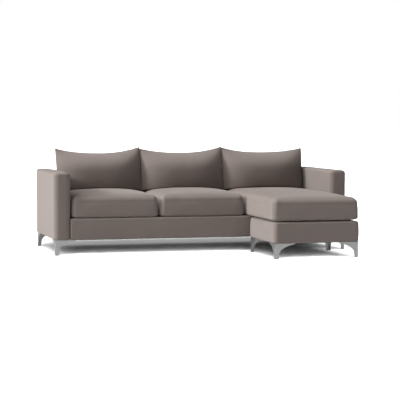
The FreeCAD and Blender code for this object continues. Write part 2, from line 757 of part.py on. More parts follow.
def back_cushion(seat):
    """Cover with its wrap, fibre filling and zip of one back cushion."""
    middle = -ROOM / 2 + BACK_CUSHION_SIDE_GAP + seat * BACK_CUSHION_PITCH + BACK_CUSHION_WIDTH / 2
    half = BACK_CUSHION_WIDTH / 2

    def filling(play):
        """Constant lens-shaped block, well inside the knife edges."""
        end = half * BACK_FILLING_SHARE - play
        return filling_section(seat, middle - end, middle, half, play).extrude(V(2 * end, 0, 0))

    outer = Part.makeLoft([back_section(x, seat, middle, half) for x in stations(half)], True, True)
    reach = half * ZIP_SHARE
    z = SEAT_FLOOR + SEAT_THICKNESS + SEAT_CROWN + 2 * ZIP_WIDTH
    face = back_line(z) - LOOSE
    depth = (face - ZIP_DEPTH, face + ZIP_DEPTH)
    tape, slot = zip_pieces(outer, (middle - reach, middle + reach), depth, z)
    return outer.cut([filling(0), slot]), filling(LOOSE), tape


# Ottoman

def ottoman_span(inset):
    x = (OTTOMAN_LEFT + inset, OTTOMAN_RIGHT - inset)
    y = (CHAISE_FRONT + inset, OTTOMAN_REAR - inset)
    return x, y


def ottoman_top():
    return DECK - OTTOMAN_WRAP - OTTOMAN_FOAM


def ottoman_rails():
    """Four boards butted into a box."""
    x, y = ottoman_span(OTTOMAN_WRAP + OTTOMAN_FOAM)
    z = (FRAME_FLOOR, ottoman_top() - OTTOMAN_TOP_BOARD)
    boards = [block(x, (y[0], y[0] + BOARD), z), block(x, (y[1] - BOARD, y[1]), z)]
    inner = (y[0] + BOARD, y[1] - BOARD)
    boards.append(block((x[0], x[0] + BOARD), inner, z))
    boards.append(block((x[1] - BOARD, x[1]), inner, z))
    return group(boards)


def ottoman_blocks():
    x, y = ottoman_span(OTTOMAN_WRAP + OTTOMAN_FOAM + BOARD)
    blocks = []
    for side, into_x in ((x[0], 1), (x[1], -1)):
        for end, into_y in ((y[0], 1), (y[1], -1)):
            blocks.append(corner_block(side, end, into_x, into_y, FRAME_FLOOR))
    return group(blocks)


def ottoman_top_board():
    x, y = ottoman_span(OTTOMAN_WRAP + OTTOMAN_FOAM)
    return block(x, y, (ottoman_top() - OTTOMAN_TOP_BOARD, ottoman_top()))


def ottoman_box(inset, floor, top):
    x, y = ottoman_span(inset)
    return block(x, y, (floor, top))


def ottoman_padding():
    foam = ottoman_box(OTTOMAN_WRAP + FIT, FRAME_FLOOR, DECK - OTTOMAN_WRAP - FIT)
    return foam.cut(ottoman_box(OTTOMAN_WRAP + OTTOMAN_FOAM - FIT, UNDERSIDE, ottoman_top() + FIT))


def ottoman_cover():
    """Cloth with its bonded wrap, rounded at its upright corners and round its top."""
    x, y = ottoman_span(0)
    form = rounded_box(x, y, UNDERSIDE, DECK, OTTOMAN_EDGE_RADIUS)
    return form.cut(ottoman_box(OTTOMAN_WRAP, UNDERSIDE - CLOTH, DECK - OTTOMAN_WRAP))


def ottoman_dust_cover():
    return ottoman_box(OTTOMAN_WRAP + FIT, UNDERSIDE, FRAME_FLOOR - FIT)


def dust_cover():
    """Dust cloths under the seat box and under each arm."""
    z = (UNDERSIDE, FRAME_FLOOR - FIT)
    sheets = [block((-BOX_HALF, BOX_HALF), (FRONT + CLOTH + FIT, REAR - CLOTH - FIT), z)]
    edge = ARM_WRAP + FIT
    for side in (-1, 1):
        sheets.append(block(arm_span(side, edge, edge), (FRONT + edge, REAR - edge), z))
    return group(sheets)


def sofa_parts():
    """Sub-parts of the sofa's own body."""
    corners = corners_of((-SOFA_WIDTH / 2, SOFA_WIDTH / 2), (FRONT, REAR))
    front_rail, rear_rail, end_rails, stretchers = seat_box_rails()
    parts = {
        "front_seat_rail": front_rail,
        "rear_seat_rail": rear_rail,
        "seat_end_rails": end_rails,
        "seat_stretchers": stretchers,
        "seat_corner_blocks": seat_corner_blocks(),
        "seat_webbing": seat_webbing(),
        "front_rail_padding": front_rail_padding(),
        "front_rail_cover": front_rail_cover(),
        "deck_felt": deck_felt(),
        "deck_cloth": deck_cloth(),
        "back_frame": back_frame(),
        "back_webbing": back_webbing(),
        "back_padding": back_padding(),
        "inside_back_cover": inside_back_cover(),
        "outside_back_cover": outside_back_cover(),
        "seat_dovetails": seat_dovetails(),
        "arm_sockets": arm_sockets(),
        "dust_cover": dust_cover(),
    }
    for name, side in (("left", -1), ("right", 1)):
        parts[name + "_arm_frame"] = arm_frame(side)
        parts[name + "_arm_padding"] = arm_padding(side)
        parts[name + "_arm_cover"] = arm_cover(side)
    leg = bracket_leg()
    for name, corner in zip(("front_left", "rear_left", "front_right", "rear_right"), corners):
        parts[name + "_leg"] = place_leg(leg, corner)
    return parts


def ottoman_parts():
    """Sub-parts of the ottoman under the front of the chaise cushion."""
    corners = corners_of(*ottoman_span(0))
    parts = {
        "ottoman_rails": ottoman_rails(),
        "ottoman_corner_blocks": ottoman_blocks(),
        "ottoman_top_board": ottoman_top_board(),
        "ottoman_padding": ottoman_padding(),
        "ottoman_cover": ottoman_cover(),
        "ottoman_dust_cover": ottoman_dust_cover(),
    }
    leg = bracket_leg()
    for name, corner in zip(("front_left", "rear_left", "front_right", "rear_right"), corners):
        parts["ottoman_" + name + "_leg"] = place_leg(leg, corner)
    return parts


def cushion_parts():
    """Cover, filling and zip of each loose cushion."""
    parts = {}
    for seat, name in enumerate(("left_seat", "middle_seat", "chaise")):
        front = CHAISE_FRONT + LOOSE if seat == SEATS - 1 else FRONT
        cover, core, tape = seat_cushion(seat, front)
        parts[name + "_cushion_cover"] = cover
        parts[name + "_cushion_core"] = core
        parts[name + "_cushion_zip"] = tape
    for seat, name in enumerate(("left_back", "middle_back", "right_back")):
        cover, filling, tape = back_cushion(seat)
        parts[name + "_cushion_cover"] = cover
        parts[name + "_cushion_filling"] = filling
        parts[name + "_cushion_zip"] = tape
    return parts


def main():
    os.makedirs("parts", exist_ok=True)
    for make in (sofa_parts, ottoman_parts, cushion_parts):
        for name, shape in make().items():
            shape.exportStep("parts/" + name + ".step")
            print(name, len(shape.Solids), round(shape.Volume / 1e6, 3), shape.isValid())


main()
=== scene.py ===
"""Looks of a three-seat sofa whose last seat cushion runs out over a free-standing ottoman.

Every padded form is a closed grid of squares, rounded, inflated by a short cloth run and then seamed.
Lengths are in metres. X runs to the sitter's left, Y towards the back and Z up from the floor.
"""

from __future__ import annotations

import json
import logging
import math
from dataclasses import dataclass, field
from enum import Enum
from typing import Callable, Sequence

import bpy
import numpy as np
from mathutils import Euler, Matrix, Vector, noise
from mathutils.kdtree import KDTree

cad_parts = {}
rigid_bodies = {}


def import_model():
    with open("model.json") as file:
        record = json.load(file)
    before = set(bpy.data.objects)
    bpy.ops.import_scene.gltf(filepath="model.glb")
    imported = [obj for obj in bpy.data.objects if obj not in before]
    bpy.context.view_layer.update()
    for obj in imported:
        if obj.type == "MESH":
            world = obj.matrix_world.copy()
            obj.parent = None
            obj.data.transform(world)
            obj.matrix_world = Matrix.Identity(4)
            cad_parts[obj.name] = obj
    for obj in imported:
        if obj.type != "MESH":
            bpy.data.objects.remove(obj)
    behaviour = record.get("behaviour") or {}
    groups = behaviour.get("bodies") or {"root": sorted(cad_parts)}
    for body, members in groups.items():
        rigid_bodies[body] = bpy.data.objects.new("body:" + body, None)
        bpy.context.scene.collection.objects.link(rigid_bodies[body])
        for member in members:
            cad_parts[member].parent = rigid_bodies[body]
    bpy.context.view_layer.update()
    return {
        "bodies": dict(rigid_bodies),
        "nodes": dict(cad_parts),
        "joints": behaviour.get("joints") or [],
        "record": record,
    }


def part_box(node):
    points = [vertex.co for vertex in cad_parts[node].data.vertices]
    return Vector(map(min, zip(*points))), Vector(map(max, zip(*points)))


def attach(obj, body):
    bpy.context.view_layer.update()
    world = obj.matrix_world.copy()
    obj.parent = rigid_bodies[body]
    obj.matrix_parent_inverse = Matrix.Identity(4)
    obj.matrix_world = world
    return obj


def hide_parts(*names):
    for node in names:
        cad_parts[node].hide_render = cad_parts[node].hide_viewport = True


LOG = logging.getLogger("sofa")
MM = 0.001
LONG_WAVE = 160 * MM
SHORT_WAVE = 60 * MM
WEAR_WAVE = 50 * MM
PUCKER_WAVE = 14 * MM
PULL = 0.4 * MM
PULL_WAVE = 22 * MM
PULL_REACH = 12 * MM
Colour = tuple[float, float, float]
Points = np.ndarray
Shape = Callable[[Points, Points], Points]


class Axis(Enum):
    """Directions of the object."""

    ACROSS = 0
    DEEP = 1
    UP = 2


# Shader maths


class Signal:
    """A value that changes over a surface, with arithmetic that adds Math nodes."""

    def __init__(self, bench: Bench, socket: bpy.types.NodeSocket) -> None:
        """Keeps the output socket and the bench that it lies on."""
        self.bench = bench
        self.socket = socket

    def math(self, operation: str, *values: Signal | float) -> Signal:
        """Adds one Math node.

        Args:
            operation: the Math node's operation.
            values: its inputs in order.

        Returns:
            The node's result.
        """
        sockets = dict(enumerate(values))
        made = self.bench.node("ShaderNodeMath", {"operation": operation}, sockets)
        return Signal(self.bench, made.outputs[0])

    def __add__(self, other: Signal | float) -> Signal:
        """Sum."""
        return self.math("ADD", self, other)

    def __radd__(self, other: float) -> Signal:
        """Sum with a number in front."""
        return self.math("ADD", other, self)

    def __sub__(self, other: Signal | float) -> Signal:
        """Difference."""
        return self.math("SUBTRACT", self, other)

    def __rsub__(self, other: float) -> Signal:
        """Number less this value."""
        return self.math("SUBTRACT", other, self)

    def __mul__(self, other: Signal | float) -> Signal:
        """Product."""
        return self.math("MULTIPLY", self, other)

    def __rmul__(self, other: float) -> Signal:
        """Product with a number in front."""
        return self.math("MULTIPLY", other, self)

    def __truediv__(self, other: Signal | float) -> Signal:
        """Quotient."""
        return self.math("DIVIDE", self, other)

    def floor(self) -> Signal:
        """Whole part."""
        return self.math("FLOOR", self)

    def sine(self) -> Signal:
        """Sine of an angle in radians."""
        return self.math("SINE", self)

    def odd(self) -> Signal:
        """1 on odd whole numbers and 0 on even ones."""
        return self.math("FLOORED_MODULO", self, 2.0)

    def above(self, other: Signal | float) -> Signal:
        """1 where this is more than the other, else 0."""
        return self.math("GREATER_THAN", self, other)

    def higher(self, other: Signal | float) -> Signal:
        """The larger of the two."""
        return self.math("MAXIMUM", self, other)


class Bench:
    """One material and the nodes that make it."""

    def __init__(self, name: str) -> None:
        """Starts an empty material."""
        self.material = bpy.data.materials.new(name)
        self.material.use_nodes = True
        self.tree = self.material.node_tree
        self.tree.nodes.clear()

    def node(self, kind: str, settings: dict | None = None, sockets: dict | None = None) -> bpy.types.Node:
        """Adds a node.

        Args:
            kind: the node's type.
            settings: its properties, which are set first.
            sockets: values or links by socket name or number.

        Returns:
            The node.
        """
        made = self.tree.nodes.new(kind)
        for key, value in (settings or {}).items():
            setattr(made, key, value)
        for key, value in (sockets or {}).items():
            socket = made.inputs[key]
            if isinstance(value, Signal):
                self.tree.links.new(value.socket, socket)
            elif isinstance(value, bpy.types.NodeSocket):
                self.tree.links.new(value, socket)
            else:
                socket.default_value = value
        return made

    def attribute(self, name: str) -> Signal:
        """Value that the mesh carries at each point."""
        made = self.node("ShaderNodeAttribute", {"attribute_name": name})
        return Signal(self, made.outputs["Fac"])

    def coordinates(self, kind: str) -> bpy.types.NodeSocket:
        """Texture coordinates of a kind."""
        return self.node("ShaderNodeTexCoord").outputs[kind]

    def parts(self, vector: bpy.types.NodeSocket) -> list[Signal]:
        """Three components of a vector."""
        made = self.node("ShaderNodeSeparateXYZ", None, {0: vector})
        return [Signal(self, out) for out in made.outputs]

    def vector(self, x: Signal | float, y: Signal | float, z: Signal | float) -> bpy.types.NodeSocket:
        """Vector of three values."""
        return self.node("ShaderNodeCombineXYZ", None, {0: x, 1: y, 2: z}).outputs[0]

    def scaled(self, vector: bpy.types.NodeSocket, by: Colour) -> bpy.types.NodeSocket:
        """Vector stretched along each axis."""
        return self.node("ShaderNodeVectorMath", {"operation": "MULTIPLY"}, {0: vector, 1: by}).outputs[0]

    def noise(self, vector: bpy.types.NodeSocket, scale: float, detail: float = 2.0) -> Signal:
        """Soft noise between 0 and 1."""
        made = self.node("ShaderNodeTexNoise", None, {"Vector": vector, "Scale": scale, "Detail": detail})
        return Signal(self, made.outputs["Fac"])

    def between(self, share: Signal, first: Colour, second: Colour) -> bpy.types.NodeSocket:
        """Colour between two colours."""
        ends = {0: share, 6: (*first, 1.0), 7: (*second, 1.0)}
        return self.node("ShaderNodeMix", {"data_type": "RGBA"}, ends).outputs[2]

    def times(self, colour: bpy.types.NodeSocket, value: Signal) -> bpy.types.NodeSocket:
        """Colour made darker or lighter by a value."""
        grey = self.vector(value, value, value)
        return self.node("ShaderNodeVectorMath", {"operation": "MULTIPLY"}, {0: colour, 1: grey}).outputs[0]

    def bump(self, height: Signal, distance: float, strength: float) -> bpy.types.NodeSocket:
        """Normal of a surface with that relief."""
        ends = {"Height": height, "Distance": distance, "Strength": strength}
        return self.node("ShaderNodeBump", None, ends).outputs[0]

    def finish(self, sockets: dict) -> bpy.types.Material:
        """Puts the surface shader on the material.

        Args:
            sockets: values or links of the shader.

        Returns:
            The material.
        """
        shader = self.node("ShaderNodeBsdfPrincipled", None, sockets)
        out = self.node("ShaderNodeOutputMaterial")
        self.tree.links.new(shader.outputs[0], out.inputs[0])
        return self.material


# Finishes


@dataclass(frozen=True)
class PlainWeave:
    """Heathered plain-weave upholstery cloth."""

    name: str
    warp: Colour
    weft: Colour
    pitch: float = 1.5 * MM
    slub: float = 0.30
    mottle: float = 0.15
    relief: float = 0.35 * MM
    sheen: float = 0.30
    roughness: float = 0.86

    def make(self) -> bpy.types.Material:
        """Builds warp and weft that pass over and under each other, with uneven yarn and worn edges,
        painted shade in the valleys between the threads and painted shade along the seams' valleys.
        """
        bench = Bench(self.name)
        place = bench.coordinates("UV")
        u, v, _ = bench.parts(place)
        across, along = u / self.pitch, v / self.pitch
        column, row = across.floor(), along.floor()
        round_warp = ((across - column) * math.pi).sine()
        round_weft = ((along - row) * math.pi).sine()
        over = (column + row).odd() - 0.5
        warp = round_warp * (0.5 + over * round_weft)
        weft = round_weft * (0.5 - over * round_warp)
        height = warp.higher(weft)
        uneven_warp = bench.noise(bench.vector(column * 0.71, along / 26, 0.0), 1.0)
        uneven_weft = bench.noise(bench.vector(across / 26, row * 0.71, 9.0), 1.0)
        on_top = warp.above(weft)
        uneven = uneven_warp * on_top + uneven_weft * (1.0 - on_top)
        cloud = bench.noise(place, 7.0, 3.0)
        fleck = bench.noise(place, 210.0, 2.0)
        tone = (1.0 - self.slub / 2) + uneven * self.slub
        tone = tone * ((1.0 - self.mottle / 2) + cloud * self.mottle)
        # painted shade: the valleys between the threads are darker, by the threads' height
        tone = tone * (0.93 + fleck * 0.14) * (0.72 + height * 0.38)
        worn = bench.attribute("worn")
        crease_shade = bench.attribute("crease_shade")
        # painted shade: the cloth is darker along the seams' valleys
        tone = tone * (1.0 + worn * 0.10) * (1.0 - crease_shade * 0.14)
        fuzz = bench.noise(place, 900.0, 2.0)
        relief = height * 0.8 + uneven * 0.25 + fuzz * 0.22
        return bench.finish({
            "Base Color": bench.times(bench.between(on_top, self.weft, self.warp), tone),
            "Roughness": self.roughness - worn * 0.10 - uneven * 0.05,
            "Specular IOR Level": 0.25,
            "Sheen Weight": self.sheen,
            "Sheen Roughness": 0.45,
            "Sheen Tint": (1.0, 0.95, 0.92, 1.0),
            "Normal": bench.bump(relief, self.relief, 0.7),
        })


@dataclass(frozen=True)
class SatinSteel:
    """Steel with a fine upright brushed grain."""

    name: str = "satin_steel_finish"
    colour: Colour = (0.47, 0.47, 0.465)
    roughness: float = 0.34
    grain: Colour = (700.0, 700.0, 16.0)

    def make(self) -> bpy.types.Material:
        """Builds brushed streaks, cloudy roughness and a few handling marks."""
        bench = Bench(self.name)
        place = bench.coordinates("Object")
        streak = bench.noise(bench.scaled(place, self.grain), 1.0, 3.0)
        cloud = bench.noise(place, 28.0, 3.0)
        mark = bench.noise(bench.scaled(place, (1.0, 1.0, 0.4)), 120.0, 4.0)
        tone = 0.90 + streak * 0.12 + cloud * 0.06
        colour = bench.between(cloud, self.colour, tuple(c * 0.94 for c in self.colour))
        return bench.finish({
            "Base Color": bench.times(colour, tone),
            "Metallic": 1.0,
            "Roughness": self.roughness - 0.10 + streak * 0.12 + cloud * 0.05 + mark * 0.06,
            "Normal": bench.bump(streak, 0.03 * MM, 0.5),
        })


@dataclass(frozen=True)
class Plated:
    """Zinc-plated small metalwork."""

    name: str
    colour: Colour = (0.56, 0.57, 0.58)
    roughness: float = 0.42

    def make(self) -> bpy.types.Material:
        """Builds a cloudy plated skin with fine specks."""
        bench = Bench(self.name)
        place = bench.coordinates("Object")
        cloud = bench.noise(place, 90.0, 3.0)
        speck = bench.noise(place, 800.0, 2.0)
        colour = bench.between(cloud, self.colour, tuple(c * 0.8 for c in self.colour))
        return bench.finish({
            "Base Color": bench.times(colour, 0.9 + speck * 0.2),
            "Metallic": 1.0,
            "Roughness": self.roughness - 0.08 + cloud * 0.16,
            "Normal": bench.bump(speck, 0.05 * MM, 0.4),
        })


@dataclass(frozen=True)
class SawnTimber:
    """Planed hardwood with its grain along one axis."""

    name: str
    grain: Axis
    light: Colour = (0.46, 0.30, 0.17)
    dark: Colour = (0.27, 0.16, 0.085)

    def make(self) -> bpy.types.Material:
        """Builds growth rings, pores and faint saw marks."""
        bench = Bench(self.name)
        place = bench.coordinates("Object")
        stretch = [9.0, 9.0, 9.0]
        stretch[self.grain.value] = 0.7
        pores = [420.0, 420.0, 420.0]
        pores[self.grain.value] = 9.0
        bend = bench.noise(bench.scaled(place, tuple(stretch)), 1.0, 3.0)
        ring = ((bend * 60.0).sine() + 1.0) * 0.5
        pore = bench.noise(bench.scaled(place, tuple(pores)), 1.0, 2.0)
        share = ring * 0.55 + pore * 0.35
        colour = bench.between(share, self.light, self.dark)
        return bench.finish({
            "Base Color": bench.times(colour, 0.88 + bend * 0.24),
            "Roughness": 0.58 + pore * 0.14,
            "Specular IOR Level": 0.35,
            "Normal": bench.bump(pore, 0.12 * MM, 0.5),
        })


@dataclass(frozen=True)
class Fibrous:
    """Felt, lining or tape: matted or finely woven fibre."""

    name: str
    light: Colour
    dark: Colour
    fibre: float = 260.0
    stretch: Colour = (1.0, 1.0, 1.0)
    relief: float = 0.5 * MM
    roughness: float = 0.93
    dot_pitch: float = 3 * MM

    def make(self) -> bpy.types.Material:
        """Builds clouds, loose fibres and a pressed dot pattern."""
        bench = Bench(self.name)
        place = bench.coordinates("UV")
        drawn = bench.scaled(place, self.stretch)
        fibre = bench.noise(drawn, self.fibre, 5.0)
        cloud = bench.noise(place, 14.0, 3.0)
        u, v, _ = bench.parts(place)
        turn = math.tau / self.dot_pitch
        dots = ((u * turn).sine() * (v * turn).sine()).higher(0.0)
        colour = bench.between(fibre * 0.7 + cloud * 0.3, self.dark, self.light)
        return bench.finish({
            "Base Color": bench.times(colour, 1.0 - dots * 0.18),
            "Roughness": self.roughness - fibre * 0.06,
            "Specular IOR Level": 0.2,
            "Sheen Weight": 0.15,
            "Normal": bench.bump(fibre - dots * 0.4, self.relief, 0.6),
        })


class Finishes:
    """All the finishes of the sofa, each made once."""

    def __init__(self) -> None:
        """Makes the materials."""
        self.cloth = PlainWeave("taupe_weave", (0.228, 0.189, 0.170), (0.196, 0.163, 0.149)).make()
        self.steel = SatinSteel().make()
        self.zinc = Plated("zinc_plate").make()
        self.nickel = Plated("dull_nickel", (0.50, 0.49, 0.47), 0.30).make()
        self.timber = {axis: SawnTimber(f"hardwood_{axis.name.lower()}", axis).make() for axis in Axis}
        self.lining = Fibrous("black_lining", (0.045, 0.045, 0.047), (0.016, 0.016, 0.017)).make()
        self.deck = PlainWeave("deck_weave", (0.150, 0.140, 0.135), (0.120, 0.112, 0.108), 0.9 * MM).make()
        self.felt = Fibrous("needled_felt", (0.42, 0.41, 0.39), (0.20, 0.20, 0.20), 180.0).make()
        self.strap = PlainWeave("strap_weave", (0.36, 0.27, 0.17), (0.25, 0.19, 0.12), 2.2 * MM, 0.3).make()
        tape = PlainWeave("zip_tape_weave", (0.16, 0.14, 0.13), (0.13, 0.115, 0.11), 0.6 * MM, 0.1)
        self.tape = tape.make()


# Padded forms


@dataclass(frozen=True)
class Corners:
    """How far the rounded corners reach across, deep and up, at the front and rear, low and high."""

    front_low: Colour
    front_high: Colour
    rear_low: Colour
    rear_high: Colour

    def at(self, deep: Points, up: Points) -> Points:
        """Reach at shares of the depth and height, each from 0 to 1."""
        deep, up = deep[:, None], up[:, None]
        low = np.array(self.front_low) * (1 - deep) + np.array(self.rear_low) * deep
        high = np.array(self.front_high) * (1 - deep) + np.array(self.rear_high) * deep
        return low * (1 - up) + high * up

    @classmethod
    def even(cls, across: float, deep: float, up: float) -> Corners:
        """Corners that are all alike."""
        return cls(*[(across, deep, up)] * 4)

    def mean(self, axis: Axis) -> float:
        """Usual reach along an axis."""
        reaches = (self.front_low, self.front_high, self.rear_low, self.rear_high)
        return sum(r[axis.value] for r in reaches) / 4


@dataclass(frozen=True)
class Seam:
    """A plain sewn seam that rings a form, square to one axis.

    Attributes:
        axis: the axis that the ring is square to.
        end: which end of that axis it is near, -1 or 1, or 0 for the middle.
        place: how far along the rounded edge from the flat side, as a share.
        depth: how deep the stitching pulls the cloth in.
        width: half of the valley's width.
        spread: how far the support lines are spread out.
    """

    axis: Axis
    end: int
    place: float = 0.5
    depth: float = 1.3 * MM
    width: float = 1.6 * MM
    spread: float = 1.0

    def lines(self) -> Points:
        """Offsets of the grid lines that hold the seam's shape."""
        near = np.array([0.8, 1.8, 3.2, 5.5, 9.0]) * MM * self.spread
        return np.concatenate([-near[::-1], [0.0], near])

    def profile(self, away: Points) -> Points:
        """How far the surface moves out at a distance from the stitching."""
        valley = -self.depth * np.exp(-((away / self.width) ** 2))
        lip = 0.35 * self.depth * np.exp(-(((away - 3 * self.width) / (1.6 * self.width)) ** 2))
        return valley + lip


class Ticks:
    """Grid lines along one side of a form.

    Attributes:
        FEWEST: fewest steps on a rounded edge or on the flat.
        BEND_SPACING: widest step on a rounded edge.
        SEAM_GAP: least gap between a seam's own lines and the next line.
    """

    FEWEST = 4
    BEND_SPACING = 5 * MM
    SEAM_GAP = 1.2 * MM

    def __init__(
        self, length: float, reach: float, spacing: float, seams: Sequence[Seam], grade: float
    ) -> None:
        """Places lines on both rounded edges, the flat between them and each seam.

        Args:
            length: the side's length.
            reach: how far its rounded edges reach.
            spacing: usual distance between lines.
            seams: seams square to this side.
            grade: from 0 for even lines to 1 for lines drawn together at the ends.
        """
        bend = reach * math.pi / 4
        flat = length - 2 * reach
        turns = max(self.FEWEST, round(bend / min(spacing, self.BEND_SPACING)))
        steps = max(self.FEWEST, round(flat / spacing))
        t = np.linspace(-1, 1, steps + 1)
        t = (1 - grade) * t + grade * np.sin(t * math.pi / 2)
        first = np.linspace(0, bend, turns + 1)
        marks = np.concatenate([first[:-1], bend + (t + 1) / 2 * flat, bend * 2 + flat - first[:-1][::-1]])
        self.centres = []
        for seam in seams:
            centre = bend + flat / 2 if seam.end == 0 else bend * (1 - seam.place)
            centre = 2 * bend + flat - centre if seam.end > 0 else centre
            held = centre + seam.lines()
            gap = self.SEAM_GAP * seam.spread
            marks = marks[(marks < held[0] - gap) | (marks > held[-1] + gap)]
            marks = np.sort(np.concatenate([marks, held]))
            self.centres.append(int(np.argmin(np.abs(marks - centre))))
        total = 2 * bend + flat
        marks[0], marks[-1] = 0.0, total
        self.core = np.clip((marks - bend) / flat * 2 - 1, -1, 1)
        self.edge = np.clip(np.maximum(bend - marks, marks - bend - flat), 0, bend) / bend


class Lattice:
    """The surface of a block of grid lines, as points and squares."""

    def __init__(self, ticks: Sequence[Ticks]) -> None:
        """Numbers the surface points and lays out the six sides."""
        counts = [len(t.core) for t in ticks]
        on_surface = np.zeros(counts, bool)
        for axis in range(3):
            cut = [slice(None)] * 3
            cut[axis] = [0, -1]
            on_surface[tuple(cut)] = True
        self.ids = np.full(counts, -1)
        self.ids[on_surface] = np.arange(on_surface.sum())
        self.index = np.argwhere(on_surface)
        self.core = np.stack([ticks[a].core[self.index[:, a]] for a in range(3)], 1)
        self.edge = np.stack([ticks[a].edge[self.index[:, a]] for a in range(3)], 1)
        self.sides = []
        for axis in range(3):
            for end in (0, -1):
                grid = np.take(self.ids, end, axis=axis)
                outward = (axis != 1) == (end == -1)
                self.sides.append((axis, end, grid, outward))

    def rounded(self, half: Points, corners: Corners) -> Points:
        """Points of the rounded block, about its middle."""
        share = (self.core * (1 + 0.1 * self.edge)) / 2.2 + 0.5
        reach = corners.at(share[:, 1], share[:, 2])
        sign = np.sign(self.core)
        inner = self.core * (half - reach)
        over = sign * np.tan(self.edge * math.pi / 4)
        over /= np.linalg.norm(over, axis=1)[:, None]
        return inner + over * reach

    def squares(self) -> Points:
        """Corner numbers of every square, turned outward."""
        found = []
        for _, _, grid, outward in self.sides:
            a, b, c, d = grid[:-1, :-1], grid[1:, :-1], grid[1:, 1:], grid[:-1, 1:]
            ring = (a, b, c, d) if outward else (a, d, c, b)
            found.append(np.stack([r.ravel() for r in ring], 1))
        return np.concatenate(found)

    def unrolled(self, points: Points) -> Points:
        """Places of the squares' corners on the cloth, in metres along the surface."""
        found = []
        for _, _, grid, outward in self.sides:
            at = points[grid]
            flat = []
            for way in (0, 1):
                step = np.linalg.norm(np.diff(at, axis=way), axis=2)
                run = np.cumsum(step, axis=way)
                run = np.concatenate([np.zeros_like(np.take(run, [0], axis=way)), run], axis=way)
                middle = run.shape[way] // 2
                flat.append(run - np.take(run, [middle], axis=way))
            uv = np.stack(flat, 2)
            a, b, c, d = uv[:-1, :-1], uv[1:, :-1], uv[1:, 1:], uv[:-1, 1:]
            ring = (a, b, c, d) if outward else (a, d, c, b)
            found.append(np.stack([r.reshape(-1, 2) for r in ring], 1).reshape(-1, 2))
        return np.concatenate(found)


def normals_of(points: Points, squares: Points) -> Points:
    """Outward directions at the points of a mesh of squares."""
    a, b, c, d = (points[squares[:, n]] for n in range(4))
    facing = np.cross(c - a, d - b)
    total = np.zeros_like(points)
    for n in range(4):
        np.add.at(total, squares[:, n], facing)
    return total / np.maximum(np.linalg.norm(total, axis=1), 1e-12)[:, None]


def softened(values: Points, squares: Points, times: int) -> Points:
    """Values at the points of a mesh, each drawn towards its neighbours some times over."""
    pairs = np.concatenate([squares[:, [n, (n + 1) % 4]] for n in range(4)])
    count = np.zeros(len(values))
    np.add.at(count, pairs[:, 0], 1)
    np.add.at(count, pairs[:, 1], 1)
    for _ in range(times):
        total = np.zeros_like(values)
        np.add.at(total, pairs[:, 0], values[pairs[:, 1]])
        np.add.at(total, pairs[:, 1], values[pairs[:, 0]])
        values = 0.5 * values + 0.5 * total / count.reshape((-1,) + (1,) * (values.ndim - 1))
    return values


def carried(start: Points, moves: Points, to: Points) -> Points:
    """Moves at other points, from the nearest points that have one."""
    tree = KDTree(len(start))
    for n, p in enumerate(start):
        tree.insert(p, n)
    tree.balance()
    found = np.zeros_like(to)
    for n, p in enumerate(to):
        near = tree.find_n(p, 5)
        weight = np.array([1.0 / (d * d + 1e-7) for _, _, d in near])
        found[n] = (moves[[i for _, i, _ in near]] * weight[:, None]).sum(0) / weight.sum()
    return found


def rumple(points: Points, size: float, seed: float) -> Points:
    """Smooth noise from -1 to 1 at each point, with bumps of about that size."""
    return np.array([noise.noise(Vector((x / size + seed, y / size, z / size))) for x, y, z in points])


def mesh_object(name: str, points: Points, squares: Sequence, uv: Points | None = None) -> bpy.types.Object:
    """Makes a smooth mesh object.

    Args:
        name: the piece's name.
        points: its points.
        squares: corner numbers of its faces.
        uv: a place on the cloth for each corner.

    Returns:
        The object, linked into the scene.
    """
    mesh = bpy.data.meshes.new(name)
    mesh.from_pydata(np.asarray(points).tolist(), [], [tuple(map(int, ring)) for ring in squares])
    if uv is not None:
        layer = mesh.uv_layers.new(name="cloth")
        layer.data.foreach_set("uv", np.asarray(uv, np.float32).ravel())
    mesh.polygons.foreach_set("use_smooth", [True] * len(mesh.polygons))
    mesh.update()
    made = bpy.data.objects.new(name, mesh)
    bpy.context.collection.objects.link(made)
    return made


@dataclass(frozen=True)
class Swell:
    """A short cloth run that blows a cover up against its seams."""

    pressure: float = 4.0
    frames: int = 20
    cap: float = 24 * MM
    share: float = 0.6
    spacing: float = 17 * MM

    def run(self, points: Points, squares: Points, held: Points) -> Points:
        """Runs Cloth on a copy of the cover.

        Args:
            points: the cover before the run.
            squares: its faces.
            held: 1 where the cover is held and 0 where it is free.

        Returns:
            How far each point moves.
        """
        copy = mesh_object("swelling", points, squares)
        group = copy.vertex_groups.new(name="held")
        for n in np.nonzero(held > 0)[0]:
            group.add([int(n)], float(held[n]), "REPLACE")
        cloth = copy.modifiers.new("cloth", "CLOTH")
        settings = cloth.settings
        settings.quality = 6
        settings.mass = 0.3
        settings.tension_stiffness = 25
        settings.compression_stiffness = 25
        settings.shear_stiffness = 12
        settings.bending_stiffness = 2
        settings.use_pressure = True
        settings.uniform_pressure_force = self.pressure
        settings.vertex_group_mass = "held"
        settings.effector_weights.gravity = 0
        cloth.collision_settings.use_collision = False
        scene = bpy.context.scene
        for frame in range(1, self.frames + 1):
            scene.frame_set(frame)
        seen = copy.evaluated_get(bpy.context.evaluated_depsgraph_get()).data
        after = np.zeros(len(points) * 3)
        seen.vertices.foreach_get("co", after)
        moves = after.reshape(-1, 3) - points
        scene.frame_set(1)
        bpy.data.objects.remove(copy)
        far = np.linalg.norm(moves, axis=1)
        soft = self.cap * np.tanh(far / self.cap)
        return moves * (soft / np.maximum(far, 1e-9))[:, None]


